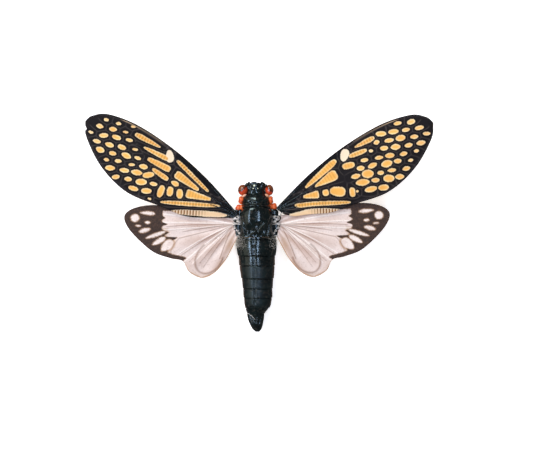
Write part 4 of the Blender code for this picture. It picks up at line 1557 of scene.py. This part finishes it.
@dataclass
class Abdomen:
    """The abdomen: rings that overlap to the rear by one rule, and the tail capsule."""

    stations: Stations = ((-4.52, 5.9, 2.4, 11.5, 7.0), (-6.0, 6.3, 1.3, 11.5, 6.8),
                          (-8.4, 6.35, 0.4, 11.3, 6.3),
                          (-10.2, 6.05, 0.0, 11.0, 6.0), (-12.0, 5.75, -0.2, 10.7, 5.8),
                          (-14.0, 5.65, -0.25, 10.4, 5.6), (-17.0, 5.35, -0.25, 9.9, 5.3),
                          (-21.0, 4.9, -0.25, 9.1, 4.8), (-24.0, 4.6, -0.15, 8.4, 4.5),
                          (-26.3, 4.2, 0.2, 7.7, 4.2),
                          (-27.5, 3.75, 0.8, 7.0, 4.0), (-28.5, 3.2, 1.3, 6.3, 3.9),
                          (-29.2, 2.75, 1.7, 5.8, 3.8))
    tail: Stations = ((-28.72, 2.75, 1.5, 5.5, 3.8), (-30.0, 2.75, 1.4, 5.6, 3.6),
                      (-31.4, 2.5, 1.4, 5.6, 3.3),
                      (-32.8, 2.1, 1.5, 5.4, 3.1), (-34.3, 1.45, 1.7, 4.5, 2.9), (-35.2, 0.6, 2.3, 3.4, 2.85))
    point: Stations = ((-27.4, 3.55, 7.1), (-28.6, 2.7, 6.5), (-29.6, 1.6, 6.0), (-30.5, 0.6, 5.6),
                       (-30.8, 0.2, 5.4))
    seams: tuple[float, ...] = (-4.0, -5.3, -10.7, -13.8, -18.0, -21.2, -24.2, -27.6, -29.6)

    def build(self, black: bpy.types.Material, pale: bpy.types.Material, down: bpy.types.Material) -> None:
        """Builds the abdomen's pieces.

        Args:
            black: the shell's material.
            pale: the pale line along the last plate's left edge, a painted highlight.
            down: the hairs'.
        """
        skin = Segment("abdomen", self.stations, self.dents, None, 1.0, 160, 320, self.flanks).shell()
        seams = np.array(self.seams[::-1])
        skin.marks["ring"] = np.interp(skin.points[:, 1], seams, np.arange(len(seams))[::-1].astype(float))
        growth = Growth("Ringed skin", {"Lip": 0.1 * MM, "Seam": 0.22 * MM, "Wrinkle": 0.07 * MM,
                                        "Wrinkle scale": 1 / (1.6 * MM), "Finish": black})
        get, node = growth.entry, growth.node
        ring = node("GeometryNodeInputNamedAttribute", {"Name": "ring"})["Attribute"]
        share = node("ShaderNodeMath", {0: ring}, operation="FRACT")[0]
        swell = node("ShaderNodeMapRange", {0: share, 1: 0.1, 2: 0.93, 3: 0.0, 4: 1.0},
                     interpolation_type="SMOOTHSTEP")[0]
        lip = node("ShaderNodeMath", {0: swell, 1: get["Lip"]}, operation="MULTIPLY")[0]
        near = node("ShaderNodeMapRange", {0: share, 1: 0.94, 2: 1.0, 3: 0.0, 4: 1.0},
                    interpolation_type="SMOOTHSTEP")[0]
        after = node("ShaderNodeMapRange", {0: share, 1: 0.0, 2: 0.07, 3: 1.0, 4: 0.0},
                     interpolation_type="SMOOTHSTEP")[0]
        seam = node("ShaderNodeMath", {0: near, 1: after}, operation="MAXIMUM")[0]
        cut = node("ShaderNodeMath", {0: seam, 1: get["Seam"]}, operation="MULTIPLY")[0]
        cloud = node("ShaderNodeTexNoise", {"Scale": get["Wrinkle scale"], "Detail": 2.0})["Fac"]
        wrinkle = node("ShaderNodeMath", {0: cloud, 1: 0.5}, operation="SUBTRACT")[0]
        rough = node("ShaderNodeMath", {0: wrinkle, 1: get["Wrinkle"]}, operation="MULTIPLY")[0]
        gained = node("ShaderNodeMath", {0: lip, 1: cut}, operation="SUBTRACT")[0]
        total = node("ShaderNodeMath", {0: gained, 1: rough}, operation="ADD")[0]
        offset = node("ShaderNodeVectorMath", {0: node("GeometryNodeInputNormal")[0], "Scale": total},
                      operation="SCALE")[0]
        growth.finish(node("GeometryNodeSetPosition", {"Geometry": get["Geometry"], "Offset": offset})[0])
        host = bare_mesh([skin], "ring")
        # Dust dulls the rear rings.
        skin.marks["dull"] = step(skin.points[:, 1], -11.5, -15.0) * 0.8
        for mark in ("thin", "dull"):
            values = skin.marks[mark].astype(np.float32)
            host.attributes.new(mark, "FLOAT", "POINT").data.foreach_set("value", values)
        made = growth.grown(host)
        spots = np.zeros(len(made.vertices) * 3, np.float32)
        made.vertices.foreach_get("co", spots)
        spots[2::3] = np.maximum(spots[2::3], 0.0)
        made.vertices.foreach_set("co", spots)
        made.set_sharp_from_angle(angle=math.radians(60))
        shown("abdomen", made, ["abdomen"])
        capsule = Segment("tail_capsule", self.tail, self.tail_relief, sides=80, count=70).shell()
        # The last plate of the back ends in a blunt point over the capsule.
        plate = Segment("last_plate", self.point, shelf=4.6, power=0.9, sides=80, count=50).shell()
        piece("tail_capsule", [capsule, plate], black, ["tail_capsule"])
        # A pale line along the left edge of the last plate only: a painted highlight, the glint of the lamps
        # on the left.
        hem = [tube([(float(midline(-28)) + x, y, z, r) for x, y, z, r in line], 10, 24) for line in (
            ((-3.2, -28.9, 5.2, 0.04), (-2.3, -29.5, 5.55, 0.06), (-1.2, -30.3, 5.7, 0.07),
             (-0.5, -31.3, 5.55, 0.03)),)]
        piece("last_plate_hem", hem, pale, (), 180)
        flank = Segment("down", self.stations, hairy=self.downy).shell()
        hairs("flank_down", [flank], down, 18.0, 0.95, 0.05, (0, -0.6, 0.2), 5)

    def flanks(self, x: np.ndarray, y: np.ndarray, z: np.ndarray) -> np.ndarray:
        """Where the rings are thin and brown, along each side."""
        half = np.interp(-y, [-s[0] for s in self.stations], [s[1] for s in self.stations])
        return step(np.abs(x) / half, 0.86, 1.0) * step(y, -8.5, -12) * step(z, 3.0, 5.0) * 0.9

    def downy(self, x: np.ndarray, y: np.ndarray, z: np.ndarray) -> np.ndarray:
        """Where the silvery down is: beside the first ring, thickest on the left."""
        return (step(y, -8.4, -7.2) * step(np.abs(x), 3.0, 4.4) * step(z, 4.0, 6.0) * np.where(x < 0, 1.0,
                                                                                               0.35))

    def dents(self, x: np.ndarray, y: np.ndarray, z: np.ndarray) -> np.ndarray:
        """Sinks the dried dents along the middle of the back and the crease along each side.

        Args:
            x, y, z: the places.

        Returns:
            How far out the surface moves.
        """
        top = step(z, 6.5, 8.0)
        keel = 0.05 * np.exp(-((x + 0.9) / 0.35) ** 2) * np.sin((y + 5) * 1.9) * top
        trough = -0.14 * np.exp(-((x + 0.85) / 0.3) ** 2) * step(y, -27.5, -25) * top
        side = -0.18 * np.exp(-((np.abs(x) - 5.0) / 0.4) ** 2) * step(z, 8.2, 7.2) * step(z, 3, 5)
        return keel + trough + side

    def tail_relief(self, x: np.ndarray, y: np.ndarray, z: np.ndarray) -> np.ndarray:
        """The capsule's side grooves and the keel on its back.

        Args:
            x, y, z: the places.

        Returns:
            How far out the surface moves.
        """
        groove = sum(ridge(x, y, ((s * 1.9, -29.4), (s * 1.3, -31.5), (s * 0.5, -33.8)), 0.22,
                           -0.22) for s in (-1, 1))
        return step(z, 3.2, 4.2) * (groove + ridge(x, y, ((0.4, -30.5), (0.3, -33.6)), 0.3, 0.16))


LIMBS: dict[str, dict[str, Stations]] = {
    "fore": {
        "coxa": ((1.9, 7.0, 4.35, 0.75), (2.1, 6.7, 3.6, 0.8), (2.3, 6.5, 3.0, 0.5)),
        "femur": ((2.5, 7.0, 2.2, 0.45), (2.9, 8.2, 2.15, 0.85), (3.2, 9.9, 2.1, 0.8),
                  (3.3, 11.3, 1.95, 0.42)),
        "tibia": ((3.3, 11.5, 0.95, 0.36), (3.2, 10.4, 0.6, 0.42), (2.9, 8.0, 0.55, 0.38),
                  (2.6, 5.9, 0.5, 0.42)),
        "tarsus": ((2.55, 5.65, 0.4, 0.26), (2.45, 4.6, 0.3, 0.24), (2.3, 3.2, 0.3, 0.22),
                   (2.2, 2.6, 0.24, 0.12)),
    },
    "mid": {
        "coxa": ((2.7, 2.8, 2.65, 0.8), (3.0, 2.7, 2.1, 0.85), (3.4, 2.6, 1.75, 0.5)),
        "femur": ((3.75, 2.55, 1.7, 0.45), (4.6, 2.3, 1.75, 0.62), (5.7, 1.9, 1.75, 0.58),
                  (6.6, 1.5, 1.6, 0.4)),
        "tibia": ((6.5, 1.1, 1.05, 0.34), (5.8, -0.1, 0.6, 0.36), (4.6, -1.9, 0.45, 0.34),
                  (3.4, -3.7, 0.45, 0.38)),
        "tarsus": ((3.2, -3.95, 0.36, 0.25), (2.7, -4.7, 0.3, 0.23), (2.1, -5.6, 0.28, 0.21),
                   (1.8, -6.1, 0.22, 0.12)),
    },
    "hind": {
        "coxa": ((2.2, -0.6, 2.55, 0.8), (2.5, -0.9, 2.0, 0.85), (3.0, -1.2, 1.7, 0.5)),
        "femur": ((3.35, -1.4, 1.75, 0.45), (4.2, -2.0, 2.0, 0.6), (5.2, -2.9, 2.2, 0.56),
                  (5.95, -3.7, 2.1, 0.38)),
        "tibia": ((6.0, -4.1, 1.5, 0.33), (5.8, -5.8, 0.75, 0.36), (5.5, -9.0, 0.45, 0.34),
                  (5.1, -12.9, 0.42, 0.38)),
        "tarsus": ((5.05, -13.2, 0.34, 0.24), (4.95, -14.2, 0.28, 0.22), (4.8, -15.6, 0.27, 0.2),
                   (4.75, -16.3, 0.21, 0.12)),
    },
}


@dataclass
class Leg:
    """One folded leg: hip, thigh, shin and jointed foot with two claws, and spines along the shin."""

    pair: str
    side: Side

    def placed(self, stations: Stations) -> list[tuple[float, ...]]:
        """Stations beside the middle line, on this leg's side."""
        return [(float(midline(y)) + self.side.value * x, y, z, r) for x, y, z, r in stations]

    def build(self, black: bpy.types.Material) -> None:
        """Builds the leg and its spines.

        Args:
            black: their material.
        """
        parts = LIMBS[self.pair]
        joints = 3.0 if self.pair != "hind" else 2.5
        swell = {
            "coxa": lambda s, a: 1 + 0.08 * np.cos(2 * a) + 0 * s,
            "femur": lambda s, a: 1 + 0.12 * np.cos(2 * a + 0.6) - 0.1 * np.exp(-((s - 0.93) / 0.05) ** 2),
            "tibia": lambda s, a: 1 - 0.14 * np.exp(-((s - 0.1) / 0.05) ** 2) + 0.05 * np.cos(4 * a),
            "tarsus": lambda s, a: 1 - 0.3 * np.exp(-((np.mod(s * joints, 1) - 0.5) / 0.09) ** 2) + 0 * a,
        }
        shells = [tube(self.placed(stations), 20, 48, swell[part]) for part, stations in parts.items()]
        toe = self.placed(parts["tarsus"][-2:])
        run = np.array(toe[1][:3]) - np.array(toe[0][:3])
        run /= np.linalg.norm(run)
        across = np.cross(run, (0, 0, 1))
        for way in (-1, 1):
            tip = np.array(toe[1][:3])
            claw = [(*tip, 0.09), (*(tip + run * 0.3 + across * way * 0.14 + (0, 0, 0.04)), 0.06),
                    (*(tip + run * 0.5 + across * way * 0.2 - (0, 0, 0.08)), 0.02)]
            shells.append(tube(claw, 8, 10))
        name = f"{self.pair}_leg_{self.side.label}"
        nodes = [f"{self.pair}_{part}_{self.side.label}" for part in parts]
        piece(name, shells, black, nodes)
        shin = smooth_line(self.placed(parts["tibia"]), 24)[4:]
        rows = []
        for way in (-1, 1):
            out = np.cross(np.gradient(shin[:, :3], axis=0), (0, 0, 1.0)) * way
            out /= np.linalg.norm(out, axis=1)[:, None]
            rows.append(np.column_stack([shin[:, :3] + out * shin[:, 3:] * 0.8 + (0, 0, 0.05), out]))
        spines(f"{self.pair}_spines_{self.side.label}", rows, black, 1.15, 0.5, 0.07, 0.7)


# ---------------------------------------------------------------- studio

@dataclass
class Studio:
    """A pale card, soft light and a camera straight above."""

    aim: tuple[float, float, float] = (2.86, -2.13, 11.5)
    width: float = 169.5
    lens: float = 100.0
    card: float = 3.0

    def floor(self) -> None:
        """Lays the card that the insect rests on."""
        half = self.card / 2
        mesh = bpy.data.meshes.new("card")
        mesh.from_pydata([(-half, -half, 0), (half, -half, 0), (half, half, 0), (-half, half, 0)], [],
                         [(0, 1, 2, 3)])
        mesh.materials.append(Plain("Matt card, lit from below", "#f1efeb", "#f6f4f0", 6.0, 0.01, 0.9, 0.0,
                                    0.65).made())
        card = bpy.data.objects.new("card", mesh)
        bpy.context.scene.collection.objects.link(card)
        card.visible_glossy = False

    def lamp(self, name: str, kind: str, power: float, tilt: tuple[float, float],
             size: tuple[float, float] | float, colour: str, distance: float = 0.7) -> bpy.types.Object:
        """Hangs a lamp that points at the insect.

        Args:
            name: the lamp's name.
            kind: AREA or SUN.
            power: watts, or irradiance for a sun.
            tilt: its angle from straight above, to the right and to the head, in degrees.
            size: an area lamp's sides in metres, or a sun's angle in degrees.
            colour: sRGB hex.
            distance: how far away an area lamp is, in metres.

        Returns:
            The lamp.
        """
        data = bpy.data.lights.new(name, kind)
        data.energy, data.color = power, linear(colour)[:3]
        if kind == "AREA":
            data.shape, data.size, data.size_y = "RECTANGLE", size[0], size[1]
        else:
            data.angle = math.radians(size)
        made = bpy.data.objects.new(name, data)
        back = Vector((math.tan(math.radians(tilt[0])), math.tan(math.radians(tilt[1])), 1)).normalized()
        made.location = back * distance
        across = Vector((0, 1, 0)).cross(back).normalized()
        made.rotation_euler = Matrix((across, back.cross(across), back)).transposed().to_euler()
        bpy.context.scene.collection.objects.link(made)
        return made

    def light(self) -> None:
        """Sets up the lamps and the dim surroundings, which are pale where the camera sees them."""
        fill = self.lamp("fill", "SUN", 0.98, (-18, 10), 100, "#fffdf8")
        fill.visible_glossy = False
        self.lamp("strip_above", "AREA", 2.3, (6, -2), (0.032, 0.85), "#cfdcff", 0.8)
        self.lamp("strip_left", "AREA", 2.6, (-33, 2), (0.042, 0.85), "#cfdcff", 0.7)
        self.lamp("window", "AREA", 2.3, (-30, 52), (0.26, 0.2), "#f2f6f4", 0.7)
        self.lamp("left_card", "AREA", 1.9, (-50, 5), (0.6, 0.9), "#f4e6d2", 0.7)
        world = bpy.data.worlds.new("surroundings")
        world.use_nodes = True
        tree = world.node_tree
        seen = add(tree, "ShaderNodeLightPath").outputs["Is Camera Ray"]
        glow = tree.nodes["Background"]
        shade = add(tree, "ShaderNodeMix", {0: seen, 6: linear("#5f6265"), 7: linear("#f7f6f4")},
                    data_type="RGBA")
        tree.links.new(shade.outputs[2], glow.inputs["Color"])
        bpy.context.scene.world = world
        bpy.context.scene.view_settings.view_transform = "Standard"

    def camera(self) -> None:
        """Puts the camera straight above."""
        data = bpy.data.cameras.new("above")
        data.lens, data.clip_end = self.lens, 20
        distance = self.width * self.lens / data.sensor_width * MM
        made = bpy.data.objects.new("above", data)
        made.location = (self.aim[0] * MM, self.aim[1] * MM, self.aim[2] * MM + distance)
        bpy.context.scene.collection.objects.link(made)
        bpy.context.scene.camera = made


def main() -> None:
    """Builds the insect's pieces in order, then the studio."""
    logging.basicConfig(level=logging.INFO, format="%(message)s")
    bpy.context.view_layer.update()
    amber, milky = AmberWing("Wing membrane, amber panes").made(), MilkyWing("Wing membrane, milky").made()
    black = Chitin("Sclerotised chitin, waxy black").made()
    for wing in (Forewing(Side.LEFT, (6.15, 2.3, 9.2), 32.0, nick=(56.2, -2.3, 0.75)),
                 Forewing(Side.RIGHT, (5.85, 4.2, 9.2), 29.1, large=RIGHT_PANES, seed=11, heel=1.3)):
        wing.build(amber)
        wing.stalks(black)
    Hindwing(Side.LEFT, (7.15, -0.5, 8.1), -0.8).build(milky)
    Hindwing(Side.RIGHT, (6.85, -0.5, 8.1), 0.8).build(milky)
    matt = Chitin("Sclerotised chitin, dull underside", "#120d0a", "#2b1f18", 0.4, 0.6, 0.006, 0.03).made()
    orange = Leathery("Soft cuticle, orange").made()
    pale = Plain("Hinge cuticle, grey", "#6f665d", "#e6ded2", 0.6, 0.05, 0.35).made()
    down = Plain("Fine hair, silvery", "#a79c8c", "#ded7ca", 1.0, 0.0, 0.6).made()
    bead = Plain("Simple eye, glassy", "#b9c2a4", "#eef0dc", 0.4, 0.0, 0.15, 0.6).made()
    peach = Leathery("Soft cuticle, peach", "#a8714e", "#e0a680", "#ecc0a2").made()
    Head().build(black, Cornea("Facetted cornea, red").made(), bead, peach)
    Thorax().build(black, matt, orange, pale, down)
    Abdomen().build(black, pale, down)
    for pair in LIMBS:
        for side in Side:
            Leg(pair, side).build(black)
    studio = Studio()
    studio.floor()
    studio.light()
    studio.camera()


if __name__ == "__main__":
    main()
